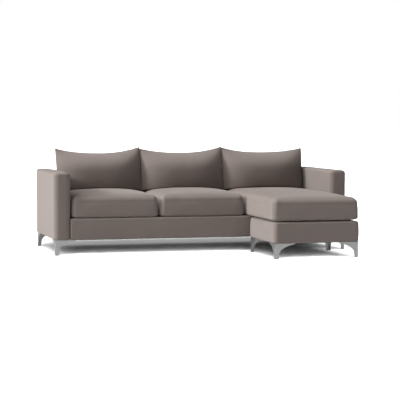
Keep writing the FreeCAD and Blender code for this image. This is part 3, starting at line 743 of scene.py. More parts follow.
@dataclass
class PaddedForm:
    """A closed upholstered form.

    Attributes:
        name: the piece's name.
        low: lowest corner of the space that it fills.
        high: highest corner of that space.
        corners: how its corners are rounded.
        seams: the seams that ring it.
        shape: turns points of the rounded block about its middle, and their shares from -1 to 1, into
            places in the row frame.
        spacing: distance between its grid lines.
        grade: how far the lines are drawn together at the ends, along each axis.
        swell: the cloth run, if it has one.
        held: tells from the shares how firmly the cover is held during the run.
        uneven: height of the soft unevenness of its surface.
        seed: makes its unevenness its own.
        margin: how far the form may stand out of its space.
    """

    name: str
    low: Points
    high: Points
    corners: Corners
    seams: tuple[Seam, ...]
    shape: Shape
    spacing: float = 10 * MM
    grade: tuple[float, float, float] = (0.0, 0.0, 0.0)
    swell: Swell | None = None
    held: Callable[[Points], Points] | None = None
    uneven: float = 0.5 * MM
    seed: float = 0.0
    margin: float = 0.0
    points: Points = field(default_factory=lambda: np.zeros((0, 3)))
    lattice: Lattice | None = None

    def _lattice(self, spacing: float, seams: Sequence[Seam]) -> tuple[Lattice, list[Ticks]]:
        """Grid of the form at a spacing."""
        size = self.high - self.low
        ticks = []
        for axis in Axis:
            own = [s for s in seams if s.axis is axis]
            reach = self.corners.mean(axis)
            ticks.append(Ticks(size[axis.value], reach, spacing, own, self.grade[axis.value]))
        return Lattice(ticks), ticks

    def _shaped(self, lattice: Lattice) -> Points:
        """Places of a grid's points once rounded and shaped."""
        half = (self.high - self.low) / 2
        points = lattice.rounded(half, self.corners)
        return self.shape(points, points / half)

    def build(self) -> bpy.types.Object:
        """Makes the piece.

        Returns:
            Its object, in place.
        """
        lattice, ticks = self._lattice(self.spacing, self.seams)
        squares = lattice.squares()
        points = self._shaped(lattice)
        if self.swell:
            points = points + self._swollen(points, squares)
        waves = rumple(points, LONG_WAVE, self.seed) + 0.5 * rumple(points, SHORT_WAVE, self.seed + 40)
        points = points + normals_of(points, squares) * (self.uneven * waves)[:, None]
        # painted shade: how near each point lies to a seam's valley, darkened in the cloth
        crease_shade = np.zeros(len(points))
        out = normals_of(points, squares)
        lift = np.zeros(len(points))
        for axis in Axis:
            own = [s for s in self.seams if s.axis is axis]
            for seam, centre in zip(own, ticks[axis.value].centres):
                moved, fold_shade = self._seamed(points, lattice, seam, centre)
                lift += moved
                crease_shade = np.maximum(crease_shade, fold_shade)
        points = points + out * lift[:, None]
        points = np.clip(points, self.low - self.margin, self.high + self.margin)
        made = mesh_object(self.name, points, squares, lattice.unrolled(points))
        # stores the seams' valley mask, which the cloth darkens as painted shade
        self._mark(made, "crease_shade", crease_shade)
        edge = np.sort(lattice.edge, axis=1)[:, 1]
        wear = np.clip(edge * 1.3 - 0.3, 0, 1) * (0.6 + 0.4 * rumple(points, WEAR_WAVE, self.seed + 9))
        self._mark(made, "worn", np.clip(wear, 0, 1))
        self.points, self.lattice = points, lattice
        return made

    def _swollen(self, points: Points, squares: Points) -> Points:
        """Moves of the form's points in the cloth run."""
        coarse, _ = self._lattice(self.swell.spacing, ())
        start = self._shaped(coarse)
        half = (self.high - self.low) / 2
        share = coarse.rounded(half, self.corners) / half
        held = self.held(share) if self.held else np.zeros(len(start))
        moves = self.swell.run(start, coarse.squares(), held)
        return self.swell.share * softened(carried(start, moves, points), squares, 6)

    def _seamed(self, points: Points, lattice: Lattice, seam: Seam, centre: int) -> tuple[Points, Points]:
        """How far one seam moves each point out, and how deep in its fold each lies, as the mask for
        painted shade along the seam's valley.
        """
        axis = seam.axis.value
        ring = lattice.index.copy()
        ring[:, axis] = centre
        on = lattice.ids[ring[:, 0], ring[:, 1], ring[:, 2]]
        away = np.where(on >= 0, np.linalg.norm(points - points[on], axis=1), 1.0)
        pucker = 1 + 0.35 * rumple(points, PUCKER_WAVE, self.seed + 3)
        pull = PULL * rumple(points, PULL_WAVE, self.seed + 5) * np.exp(-away / PULL_REACH)
        return seam.profile(away) * pucker + pull, np.exp(-((away / seam.width) ** 2))

    def upholstered(
        self, finish: bpy.types.Material, slot: str, body: str, nodes: Sequence[str]
    ) -> bpy.types.Object:
        """Args:
            finish: its material.
            slot: not used.
            body: the body that it rides on.
            nodes: the CAD nodes that it stands for.

        Returns:
            Its object.
        """
        made = self.build()
        dressed(made, finish, slot, body, *nodes)
        return made

    @staticmethod
    def _mark(made: bpy.types.Object, name: str, values: Points) -> None:
        """Stores a value at each point of the mesh."""
        layer = made.data.attributes.new(name, "FLOAT", "POINT")
        layer.data.foreach_set("value", values.astype(np.float32))


def dressed(
    made: bpy.types.Object, finish: bpy.types.Material, slot: str, body: str, *nodes: str
) -> bpy.types.Object:
    """Gives a piece its finish, body and the nodes that it stands for."""
    made.data.materials.append(finish)
    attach(made, body)
    if nodes:
        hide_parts(*nodes)
    LOG.info("%s on %s, %d faces", made.name, body, len(made.data.polygons))
    return made


def span(node: str) -> tuple[Points, Points]:
    """Lowest and highest corner of a node as arrays."""
    low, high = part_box(node)
    return np.array(low), np.array(high)


def dome(share: Points, power: float) -> Points:
    """1 in the middle and 0 at both ends, flatter for a larger power."""
    return 1 - np.clip(np.abs(share), 0, 1) ** power


# Sub-assemblies


@dataclass
class SeatCushion:
    """A boxed seat cushion with a crowned top, its seams and its zip."""

    side: str
    seed: float
    side_swell: float
    crown: float = 25 * MM
    front_bulge: float = 6 * MM
    side_bulge: float = 3.5 * MM
    draw: float = 2 * MM
    seam_depth: float = 0.55 * MM
    seam_width: float = 0.9 * MM

    def build(self, finishes: Finishes) -> None:
        """Makes the cushion and its zip."""
        cover = f"{self.side}_cushion_cover"
        body = f"{self.side}_cushion"
        low, high = span(cover)
        form = PaddedForm(
            body, low, high,
            Corners((36 * MM, 30 * MM, 18 * MM), (42 * MM, 46 * MM, 44 * MM),
                    (28 * MM, 20 * MM, 16 * MM), (36 * MM, 30 * MM, 32 * MM)),
            (Seam(Axis.UP, 1, 0.3, self.seam_depth, self.seam_width),
             Seam(Axis.UP, -1, 0.35, self.seam_depth, self.seam_width)),
            lambda points, share: self.shaped(points, share, low, high),
            9 * MM, swell=Swell(share=0.4), held=self.held, seed=self.seed, margin=5 * MM,
        )
        form.upholstered(finishes.cloth, "upholstery_cloth", body, (cover, f"{self.side}_cushion_core"))
        Zip(f"{self.side}_cushion_zip", body, form).build(finishes)

    @staticmethod
    def held(share: Points) -> Points:
        """Firm underneath, where the cushion rests on the deck."""
        return np.clip(-share[:, 2] * 6 - 4.5, 0, 1)

    def shaped(self, points: Points, share: Points, low: Points, high: Points) -> Points:
        """Crowns the top, swells the sides and draws them in between the corners."""
        s, t, r = share.T
        middle = (low + high) / 2
        wall = dome(r * 1.05, 2.0)
        x, y, z = points.T
        room = (high - low) / 2
        give = self.side_swell * wall - (self.side_bulge + self.draw * dome(t, 2.0)) * (1 - wall)
        x = x * (1 + give / room[0])
        y = y * (1 - self.front_bulge * (1 - wall * dome(s, 4.0)) / room[1])
        top = np.clip((r + 0.2) / 1.2, 0, 1)
        z = z - self.crown * top * (1 - dome(s, 2.2) * dome(t, 2.4))
        return np.stack([x, y, z], 1) + middle


@dataclass
class BackCushion:
    """A knife-edged, fibre-filled back cushion with raised ears.

    Attributes:
        side: which seat it belongs to.
        seed: makes its unevenness its own.
        ears: height of its left and right ear.
        free: 1 for a left or right side with no neighbour, else 0.
        knife: half of its thickness at the seam.
        seam_low: Y of the seam at the foot.
        seam_high: Y of the seam at the top.
        belly: Y of the fullest place in front.
        belly_share: how far up that place is, as a share.
        foot_share: fullness at the foot, as a share.
        foot_lift: how far the middle of the foot is raised.
        dip: height of the middle of the top.
        deck: height at which the back's lean is measured from.
        rest_foot: Y of the back's face there.
        rest_lean: its lean, as run over rise.
        clear: gap kept in front of the back's face.
        back_start: how far up the rear face starts to thin, as a share.
        side_room: how far its sides reach past the CAD cushion's.
        side_draw: how far their middles are drawn in.
        free_high: how far the top of a free side leans out.
        free_low: how far the foot of a free side is drawn in.
    """

    side: str
    seed: float
    ears: tuple[float, float]
    free: tuple[float, float]
    knife: float = 5 * MM
    seam_low: float = 0.548
    seam_high: float = 0.627
    belly: float = 0.470
    belly_share: float = 0.36
    foot_share: float = 0.84
    foot_lift: float = 19 * MM
    dip: float = 0.745
    deck: float = 0.276
    rest_foot: float = 0.6475
    rest_lean: float = 0.1138
    clear: float = 4 * MM
    back_start: float = 0.45
    side_room: float = 1.0 * MM
    side_draw: float = 0.8 * MM
    free_high: float = 5 * MM
    free_low: float = 13 * MM

    def build(self, finishes: Finishes) -> None:
        """Makes the cushion and its zip."""
        cover = f"{self.side}_back_cushion_cover"
        body = f"{self.side}_back_cushion"
        low, high = span(cover)
        form = PaddedForm(
            body, low, high,
            Corners((8 * MM, 22 * MM, 16 * MM), (6 * MM, 40 * MM, 6 * MM),
                    (8 * MM, 22 * MM, 14 * MM), (6 * MM, 40 * MM, 6 * MM)),
            (Seam(Axis.DEEP, 0, 0.5, 1.0 * MM, 1.2 * MM, 6.0),),
            lambda points, share: self.shaped(points, share, low, high),
            9 * MM, (0.75, 0.0, 0.6), Swell(share=0.5), self.held, 0.9 * MM, self.seed, margin=6 * MM,
        )
        nodes = (cover, f"{self.side}_back_cushion_filling")
        form.upholstered(finishes.cloth, "upholstery_cloth", body, nodes)
        Zip(f"{self.side}_back_cushion_zip", body, form).build(finishes)

    @staticmethod
    def held(share: Points) -> Points:
        """Firm underneath and behind, where the cushion rests, and along its side seams."""
        resting = np.maximum(-share[:, 2] * 8 - 7, share[:, 1] * 4 - 3.2)
        return np.clip(np.maximum(resting, np.abs(share[:, 0]) * 12 - 10.8), 0, 1)

    def rest(self, z: Points) -> Points:
        """Y of the leaning back just behind the cushion."""
        return self.rest_foot + self.rest_lean * (z - self.deck)

    def shaped(self, points: Points, share: Points, low: Points, high: Points) -> Points:
        """Bends a block into a pillow: thick at the foot, thin at its top and sides."""
        s, n, r = share.T
        middle, half = (low + high) / 2, (high - low) / 2
        up = np.clip((r + 1) / 2, 0, 1)
        side = np.clip(np.abs(s), 0, 1)
        ear = np.where(s < 0, self.ears[0], self.ears[1])
        top = self.dip + (ear - self.dip) * side ** 2.3
        foot = low[2] + self.foot_lift * dome(s, 2.0) * np.where(n < 0.3, 1.0, 0.6)
        z = foot + (top - foot) * up
        full = dome(s, 3.0) ** 0.8
        below = 1 - (1 - self.foot_share) * (1 - np.clip(up / self.belly_share, 0, 1)) ** 2
        above = 1 - np.clip((up - self.belly_share) / (1 - self.belly_share), 0, 1) ** 3.0
        seam = self.seam_low + (self.seam_high - self.seam_low) * up ** 1.1
        front = self.knife + (seam - self.belly) * full * below * above
        room = np.maximum(self.rest(z) - self.clear - seam - self.knife, 0)
        thinning = dome(np.clip((up - self.back_start) / (1 - self.back_start), 0, 1), 2.0)
        back = self.knife + room * dome(s, 5.0) ** 0.8 * thinning
        y = seam + n * np.where(n < 0, front, back)
        loose = np.where(s < 0, self.free[0], self.free[1])
        reach = self.side_room - self.side_draw * dome(r, 2.0)
        reach = reach + loose * (self.free_high * up - self.free_low * (1 - up) ** 2)
        x = middle[0] + s * (half[0] + reach)
        return np.stack([x, y, z], 1)


@dataclass
class Zip:
    """A zip let into the back of a cushion: two tapes, a chain of teeth, a slider and stops."""

    node: str
    body: str
    form: PaddedForm
    tooth_pitch: float = 2.4 * MM
    tape_lift: float = 0.5 * MM
    chain_half: float = 1.9 * MM

    def build(self, finishes: Finishes) -> None:
        """Makes the tapes, with the chain and slider going with them."""
        low, high = span(self.node)
        xs = np.arange(low[0], high[0], 6 * MM)
        xs = np.append(xs, high[0])
        rows = np.linspace(low[2], high[2], 7)
        face = self._face(xs, rows)
        grid_x, grid_z = np.meshgrid(xs, rows, indexing="ij")
        points, squares, uv = [], [], []
        for lift in (self.tape_lift, -0.6 * MM):
            points.append(np.stack([grid_x, face + lift, grid_z], 2).reshape(-1, 3))
        count = len(points[0])
        n = len(rows)
        for i in range(len(xs) - 1):
            for j in range(n - 1):
                ring = [i * n + j, (i + 1) * n + j, (i + 1) * n + j + 1, i * n + j + 1]
                squares.append(ring[::-1])
                squares.append([k + count for k in ring])
        border = [i * n for i in range(len(xs))] + [(len(xs) - 1) * n + j for j in range(1, n)]
        border += [i * n + n - 1 for i in range(len(xs) - 2, -1, -1)] + [j for j in range(n - 2, 0, -1)]
        for a, b in zip(border, border[1:] + border[:1]):
            squares.append([a, b, b + count, a + count])
        points = np.concatenate(points)
        uv = [(points[k][0], points[k][2]) for square in squares for k in square]
        tape = mesh_object(self.node.replace("_zip", "_zip_tape"), points, squares, np.array(uv))
        dressed(tape, finishes.tape, "zip_tape", self.body, self.node)
        centre = n // 2
        self._chain(xs, face[:, centre], rows[centre], finishes)

    def _face(self, xs: Points, rows: Points) -> Points:
        """Y of the cushion's back at a grid of places."""
        behind = [grid for axis, end, grid, _ in self.form.lattice.sides if axis == 1 and end == -1][0]
        at = self.form.points[behind].reshape(-1, 3)
        tree = KDTree(len(at))
        for n, p in enumerate(at):
            tree.insert((p[0], 0, p[2]), n)
        tree.balance()
        found = np.zeros((len(xs), len(rows)))
        for i, x in enumerate(xs):
            for j, z in enumerate(rows):
                near = tree.find_n((x, 0, z), 4)
                weight = np.array([1 / (d + 1e-4) for _, _, d in near])
                found[i, j] = (at[[k for _, k, _ in near], 1] * weight).sum() / weight.sum()
        return found

    def _chain(self, xs: Points, face: Points, z: float, finishes: Finishes) -> None:
        """Makes the teeth, end stops, slider and pull."""
        teeth = Blocks(f"{self.node}_teeth")
        start, stop = xs[0] + 8 * MM, xs[-1] - 8 * MM
        count = int((stop - start) / self.tooth_pitch)
        for k in range(count):
            x = start + k * self.tooth_pitch
            y = float(np.interp(x, xs, face)) + self.tape_lift
            side = 1 if k % 2 else -1
            teeth.add((x, y + 0.5 * MM, z + side * 0.5 * MM), (1.5 * MM, 1.5 * MM, 2 * self.chain_half))
        for x in (start - 3 * MM, stop + 3 * MM):
            y = float(np.interp(x, xs, face)) + self.tape_lift
            teeth.add((x, y + 0.6 * MM, z), (2.4 * MM, 1.8 * MM, 4.6 * MM))
        x = stop - 6 * MM
        y = float(np.interp(x, xs, face)) + self.tape_lift
        teeth.add((x, y + 1.5 * MM, z), (9 * MM, 1.2 * MM, 6.4 * MM))
        teeth.add((x, y + 2.6 * MM, z), (6 * MM, 1.4 * MM, 1.6 * MM))
        teeth.add((x - 9 * MM, y + 2.6 * MM, z), (17 * MM, 0.9 * MM, 4.4 * MM))
        dressed(teeth.build(0.25 * MM), finishes.nickel, "zip_tape", self.body)


class Blocks:
    """Many small bevelled blocks in one mesh."""

    RING = ((0, 3, 2, 1), (4, 5, 6, 7), (0, 1, 5, 4), (1, 2, 6, 5), (2, 3, 7, 6), (3, 0, 4, 7))

    def __init__(self, name: str) -> None:
        """Starts with none."""
        self.name = name
        self.points: list[Vector] = []
        self.faces: list[tuple[int, ...]] = []

    def add(self, centre: Sequence[float], size: Sequence[float], turn: float = 0.0) -> None:
        """Adds a block of a size at a place, turned about the upright axis."""
        base = len(self.points)
        spin = Euler((0, 0, turn)).to_matrix()
        for z in (-0.5, 0.5):
            for x, y in ((-0.5, -0.5), (0.5, -0.5), (0.5, 0.5), (-0.5, 0.5)):
                arm = Vector((x * size[0], y * size[1], z * size[2]))
                self.points.append(Vector(centre) + spin @ arm)
        self.faces += [tuple(base + k for k in face) for face in self.RING]

    def build(self, bevel: float) -> bpy.types.Object:
        """Makes the piece with rounded edges."""
        mesh = bpy.data.meshes.new(self.name)
        mesh.from_pydata([tuple(p) for p in self.points], [], self.faces)
        made = bpy.data.objects.new(self.name, mesh)
        bpy.context.collection.objects.link(made)
        rounding = made.modifiers.new("rounding", "BEVEL")
        rounding.width = bevel
        rounding.segments = 2
        return made


@dataclass
class Arm:
    """A tall narrow arm with a crowned top and soft upright corners."""

    side: str
    seed: float
    crown: float = 4.6 * MM
    waist: float = 1.2 * MM

    def build(self, finishes: Finishes) -> None:
        """Makes the arm."""
        cover = f"{self.side}_arm_cover"
        low, high = span(cover)
        middle, half = (low + high) / 2, (high - low) / 2

        def shaped(points: Points, share: Points) -> Points:
            s, t, r = share.T
            x, y, z = points.T
            z = z - self.crown * np.clip(r, 0, 1) ** 4 * s ** 2 * (0.6 - 0.4 * t)
            sag = self.waist * dome(t, 2.0) * dome(r, 2.0)
            return np.stack([x * (1 - sag / half[0]), y, z], 1) + middle

        form = PaddedForm(
            f"{self.side}_arm", low, high,
            Corners((38 * MM, 34 * MM, 4 * MM), (38 * MM, 28 * MM, 21 * MM),
                    (27 * MM, 20 * MM, 4 * MM), (27 * MM, 20 * MM, 13 * MM)),
            (Seam(Axis.DEEP, -1, 0.5, 0.9 * MM, 1.2 * MM), Seam(Axis.DEEP, 1, 0.5, 0.9 * MM, 1.2 * MM)),
            shaped, 11 * MM, uneven=0.5 * MM, seed=self.seed,
        )
        form.upholstered(finishes.cloth, "upholstery_cloth", "sofa", (cover, f"{self.side}_arm_padding"))


@dataclass
class SeatFront:
    """The padded front rail between the arms."""

    swell: float = 2.0 * MM

    def build(self, finishes: Finishes) -> None:
        """Makes the rail's cover."""
        low, high = span("front_rail_cover")
        middle = (low + high) / 2

        def shaped(points: Points, share: Points) -> Points:
            _, t, r = share.T
            x, y, z = points.T
            swell = self.swell * dome(r, 2.0) * np.clip(-t, 0, 1)
            return np.stack([x, y + self.swell - swell, z], 1) + middle

        corners = Corners((6 * MM, 12 * MM, 8 * MM), (6 * MM, 14 * MM, 14 * MM),
                          (6 * MM, 3 * MM, 3 * MM), (6 * MM, 3 * MM, 3 * MM))
        form = PaddedForm("front_rail", low, high, corners, (), shaped, 11 * MM, seed=4.0)
        nodes = ("front_rail_cover", "front_rail_padding")
        form.upholstered(finishes.cloth, "upholstery_cloth", "sofa", nodes)


@dataclass
class BackRest:
    """The sofa's own leaning back, with its outside panel."""

    room: float = 2.5 * MM
    lean: float = 38 * MM
    panel_swell: float = 3.0 * MM

    def build(self, finishes: Finishes) -> None:
        """Makes the inside back and the panel behind it."""
        low, high = span("inside_back_cover")
        middle = (low + high) / 2
        high = high - np.array([0, self.room, 0])

        def shaped(points: Points, share: Points) -> Points:
            _, t, r = share.T
            x, y, z = points.T
            lean = self.lean * (r + 1) / 2
            y = y + lean * (1 - t) / 2
            return np.stack([x, y, z], 1) + middle

        corners = Corners((5 * MM, 5 * MM, 4 * MM), (9 * MM, 24 * MM, 24 * MM),
                          (5 * MM, 5 * MM, 4 * MM), (6 * MM, 10 * MM, 10 * MM))
        seams = (Seam(Axis.UP, 1, -0.6, 1.0 * MM, 1.4 * MM),)
        form = PaddedForm("inside_back", low, high, corners, seams, shaped, 12 * MM, seed=7.0)
        nodes = ("inside_back_cover", "back_padding")
        form.upholstered(finishes.cloth, "upholstery_cloth", "sofa", nodes)
        self._outside(finishes)

    def _outside(self, finishes: Finishes) -> None:
        """Makes the outside back panel, stretched over the frame and turned in at its edges."""
        low, high = span("outside_back_cover")
        low = low - np.array([0, 0.4 * MM, 0])
        middle = (low + high) / 2

        def shaped(points: Points, share: Points) -> Points:
            s, _, r = share.T
            x, y, z = points.T
            swell = self.panel_swell * dome(s, 6.0) * dome(r, 4.0)
            return np.stack([x, y + swell, z], 1) + middle

        thin = (high - low)[1] / 2.2
        form = PaddedForm("outside_back", low, high, Corners.even(2.4 * MM, thin, 2.4 * MM), (), shaped,
                          16 * MM, uneven=0.4 * MM, seed=11.0, margin=4 * MM)
        made = form.build()
        dressed(made, finishes.cloth, "upholstery_cloth", "sofa", "outside_back_cover")


@dataclass
class Ottoman:
    """The free-standing box that carries the front of the long cushion."""

    crown: float = 5 * MM
    swell: float = 4 * MM
    draw: float = 1 * MM

    def build(self, finishes: Finishes) -> None:
        """Makes the ottoman's cover."""
        low, high = span("ottoman_cover")
        middle, half = (low + high) / 2, (high - low) / 2

        def shaped(points: Points, share: Points) -> Points:
            s, t, r = share.T
            x, y, z = points.T
            z = z - self.crown * np.clip(r, 0, 1) ** 3 * (1 - dome(s, 2.0) * dome(t, 2.0))
            swell = self.swell * dome(r, 2.0) - self.draw
            x, y = x * (1 + swell / half[0]), y * (1 + 0.4 * swell / half[1])
            return np.stack([x, y, z], 1) + middle

        corners = Corners((32 * MM, 30 * MM, 5 * MM), (32 * MM, 32 * MM, 17 * MM),
                          (30 * MM, 34 * MM, 5 * MM), (32 * MM, 64 * MM, 24 * MM))
        seams = (Seam(Axis.UP, 1, 0.45, 0.6 * MM, 1.0 * MM),)
        form = PaddedForm("ottoman_upholstery", low, high, corners, seams, shaped, 10 * MM, seed=21.0,
                          margin=4 * MM)
        nodes = ("ottoman_cover", "ottoman_padding")
        form.upholstered(finishes.cloth, "upholstery_cloth", "ottoman", nodes)


@dataclass
class LiningSheet:
    """A thin sheet of lining cloth, stapled or stitched round its border."""

    name: str
    node: str
    body: str
    rests_on: tuple[str, ...]
    sag: float = 1.5 * MM
    staples: bool = True

    def build(
        self, finish: bpy.types.Material, staple: bpy.types.Material,
        part: tuple[Points, Points] | None = None,
    ) -> None:
        """Makes the sheet and its staples.

        Args:
            finish: the cloth.
            staple: the staples' metal.
            part: corners of the sheet, where the node holds more than one.
        """
        low, high = part or span(self.node)
        middle = (low + high) / 2
        thick = float((high - low)[2])

        def shaped(points: Points, share: Points) -> Points:
            s, t, _ = share.T
            x, y, z = points.T
            z = z - self.sag * dome(s, 4.0) * dome(t, 4.0)
            return np.stack([x, y, z], 1) + middle

        form = PaddedForm(self.name, low, high, Corners.even(1.0 * MM, 1.0 * MM, thick / 2.2), (), shaped,
                          18 * MM, uneven=0.25 * MM, seed=float(low[0] * 10), margin=self.sag + 1 * MM)
        made = form.build()
        dressed(made, finish, "lining_cloth", self.body)
        if part is None or self.name.endswith("_middle"):
            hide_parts(self.node)
        if self.staples:
            self._staples(low, high, staple)

    def _staples(self, low: Points, high: Points, metal: bpy.types.Material) -> None:
        """Makes the staples round the border."""
        row = Blocks(f"{self.name}_staples")
        inset, pitch = 9 * MM, 46 * MM
        z = low[2] - 0.15 * MM
        for x, y, length, turn in (
            (low[0] + inset, None, high[1] - low[1], 1), (high[0] - inset, None, high[1] - low[1], 1),
            (None, low[1] + inset, high[0] - low[0], 0), (None, high[1] - inset, high[0] - low[0], 0),
        ):
            count = max(2, int((length - 4 * inset) / pitch))
            for k in range(count):
                along = 2 * inset + (length - 4 * inset) * (k + 0.5) / count
                lean = 0.12 * math.sin(k * 12.9 + length * 7)
                centre = (x, low[1] + along, z) if turn else (low[0] + along, y, z)
                row.add(centre, (10 * MM, 1.2 * MM, 0.6 * MM), lean + turn * math.pi / 2)
        dressed(row.build(0.15 * MM), metal, "zinc_steel", self.body)


@dataclass
class Undersides:
    """Deck, felt and dust cloths.

    Attributes:
        inner: half-width of the sofa's own dust cloth.
        outer: where the arms' dust cloths begin.
        short: how far those stop short of the arms' ends.
    """

    inner: float = 1020.7 * MM
    outer: float = 1029.3 * MM
    short: float = 6 * MM

    def build(self, finishes: Finishes) -> None:
        """Makes every sheet that closes the boxes."""
        LiningSheet("deck_cloth_sheet", "deck_cloth", "sofa", ("deck_felt_pad",), 0.0, False).build(
            finishes.deck, finishes.zinc)
        low, high = span("deck_felt")
        middle = (low + high) / 2
        form = PaddedForm("deck_felt_pad", low, high, Corners.even(3 * MM, 3 * MM, 3 * MM), (),
                          lambda points, share: points + middle, 18 * MM, seed=31.0)
        form.upholstered(finishes.felt, "felt", "sofa", ("deck_felt",))
        low, high = span("dust_cover")
        arm = ("left_arm_frame",), ("right_arm_frame",)
        for name, left, right, short, rests in (
            ("left", low[0], -self.outer, self.short, arm[0]),
            ("middle", -self.inner, self.inner, 0.0, ("rear_seat_rail", "front_seat_rail")),
            ("right", self.outer, high[0], self.short, arm[1]),
        ):
            part = np.array([left, low[1] + short, low[2]]), np.array([right, high[1] - short, high[2]])
            sheet = LiningSheet(f"dust_cloth_{name}", "dust_cover", "sofa", rests)
            sheet.build(finishes.lining, finishes.zinc, part)
        sheet = LiningSheet("ottoman_dust_cloth", "ottoman_dust_cover", "ottoman", ("ottoman_rails",))
        sheet.build(finishes.lining, finishes.zinc)


@dataclass
class Straps:
    """Woven elastic straps of the seat and the back, one piece for each set.

    Attributes:
        width: a seat strap's width.
        pitch: distance between the seat straps that run across.
        back_width: a back strap's width, measured upright.
        thick: thickness of every strap.
        rise: how far a strap rises from the rails to pass under another.
        wave: half of the step from under to over.
        landing: length of a strap on its rail.
        step: distance between the points along a seat strap.
        columns: points across a strap.
    """

    width: float = 55 * MM
    pitch: float = 188 * MM
    back_width: float = 70 * MM
    thick: float = 2 * MM
    rise: float = 1 * MM
    wave: float = 1.3 * MM
    landing: float = 22 * MM
    step: float = 8 * MM
    columns: int = 9

    def build(self, finishes: Finishes) -> None:
        """Makes the seat's woven straps and the back's level ones."""
        self._seat(finishes.strap)
        self._back(finishes.strap)

    def _seat(self, finish: bpy.types.Material) -> None:
        """Weaves straps from front to rear through straps from end to end."""
        low, high = span("seat_webbing")
        deep = []
        for side in ("left_seat", "middle_seat", "chaise"):
            left, right = span(f"{side}_cushion_cover")
            centre, pitch = (left[0] + right[0]) / 2, (right[0] - left[0]) / 3
            deep += [centre - pitch, centre, centre + pitch]
        across = [low[1] + self.pitch * n for n in (1, 2, 3)]
        ribbons = []
        for n, x in enumerate(deep):
            path = self._path((low[1], high[1]), across, n % 2 == 0, low[2])
            places = np.stack([np.full(len(path), x), path[:, 0], path[:, 1]], 1)
            ribbons.append((places, Vector((1, 0, 0)), self.width))
        for n, y in enumerate(across):
            path = self._path((low[0], high[0]), deep, n % 2 == 1, low[2])
            places = np.stack([path[:, 0], np.full(len(path), y), path[:, 1]], 1)
            ribbons.append((places, Vector((0, 1, 0)), self.width))
        self._piece("seat_straps", "seat_webbing", ribbons, finish)

    def _back(self, finish: bpy.types.Material) -> None:
        """Lays level straps on the leaning uprights."""
        low, high = span("back_webbing")
        lean = (high[1] - self.thick - low[1]) / (high[2] - low[2])
        slope = Vector((0, lean, 1)).normalized()
        run = np.linspace(low[0], high[0], 120)
        ribbons = []
        for n in range(3):
            z = low[2] + (high[2] - self.back_width - low[2]) * n / 2 + self.back_width / 2
            y = low[1] + lean * (z - low[2]) + self.thick / 2
            path = np.stack([run, np.full(len(run), y), np.full(len(run), z)], 1)
            ribbons.append((path, slope, self.back_width / slope.z))
        self._piece("back_straps", "back_webbing", ribbons, finish)

    def _path(
        self, ends: tuple[float, float], crossings: Sequence[float], lower_first: bool, base: float
    ) -> Points:
        """Places and heights of a strap's middle, down on the rails, over and under at the crossings."""
        half = self.width / 2 + self.thick
        knots = [(ends[0], base), (ends[0] + self.landing, base)]
        for n, place in enumerate(crossings):
            height = base + self.rise + (0.0 if (n % 2 == 0) == lower_first else 2 * self.wave)
            knots += [(place - half, height), (place + half, height)]
        knots += [(ends[1] - self.landing, base), (ends[1], base)]
        at, heights = np.array(knots).T
        run = np.linspace(ends[0], ends[1], int((ends[1] - ends[0]) / self.step))
        return np.stack([run, np.interp(run, at, heights) + self.thick / 2], 1)

    def _piece(
        self, name: str, node: str, ribbons: Sequence, finish: bpy.types.Material
    ) -> None:
        """Joins ribbons into one closed piece with softened edges."""
        points, squares, uv, length, start = [], [], [], 0.0, 0
        share = np.linspace(-1, 1, self.columns)
        ring = 2 * self.columns
        for path, side, width in ribbons:
            side = np.array(side)
            along = np.gradient(path, axis=0)
            up = np.cross(along, side)
            up /= np.linalg.norm(up, axis=1)[:, None]
            flat = path[:, None] + share[None, :, None] * side * width / 2
            rise = (self.thick / 2 * (1 - 0.3 * share ** 8))[None, :, None] * up[:, None]
            rows = np.concatenate([flat + rise, (flat - rise)[:, ::-1]], 1)
            points.append(rows.reshape(-1, 3))
            gone = np.concatenate([[0], np.cumsum(np.linalg.norm(np.diff(path, axis=0), axis=1))])
            cloth = np.concatenate([share, share[::-1]]) * width / 2
            ids = start + np.arange(len(path) * ring).reshape(len(path), ring)
            after = np.roll(ids, -1, axis=1)
            found = np.stack([ids[:-1], ids[1:], after[1:], after[:-1]], 2).reshape(-1, 4)
            caps = []
            for row, turn in ((ids[0], 1), (ids[-1], -1)):
                for n in range(self.columns - 1):
                    caps.append([row[n], row[n + 1], row[ring - 2 - n], row[ring - 1 - n]][::turn])
            found = np.concatenate([found, caps])
            place = found - start
            uv.append(np.stack([gone[place // ring], cloth[place % ring]], 2).reshape(-1, 2))
            squares.append(found)
            length += float(gone[-1]) * width
            start += len(path) * ring
        made = mesh_object(name, np.concatenate(points), np.concatenate(squares), np.concatenate(uv))
        dressed(made, finish, "webbing", "sofa", node)
        width = float(ribbons[0][2])
        length / width


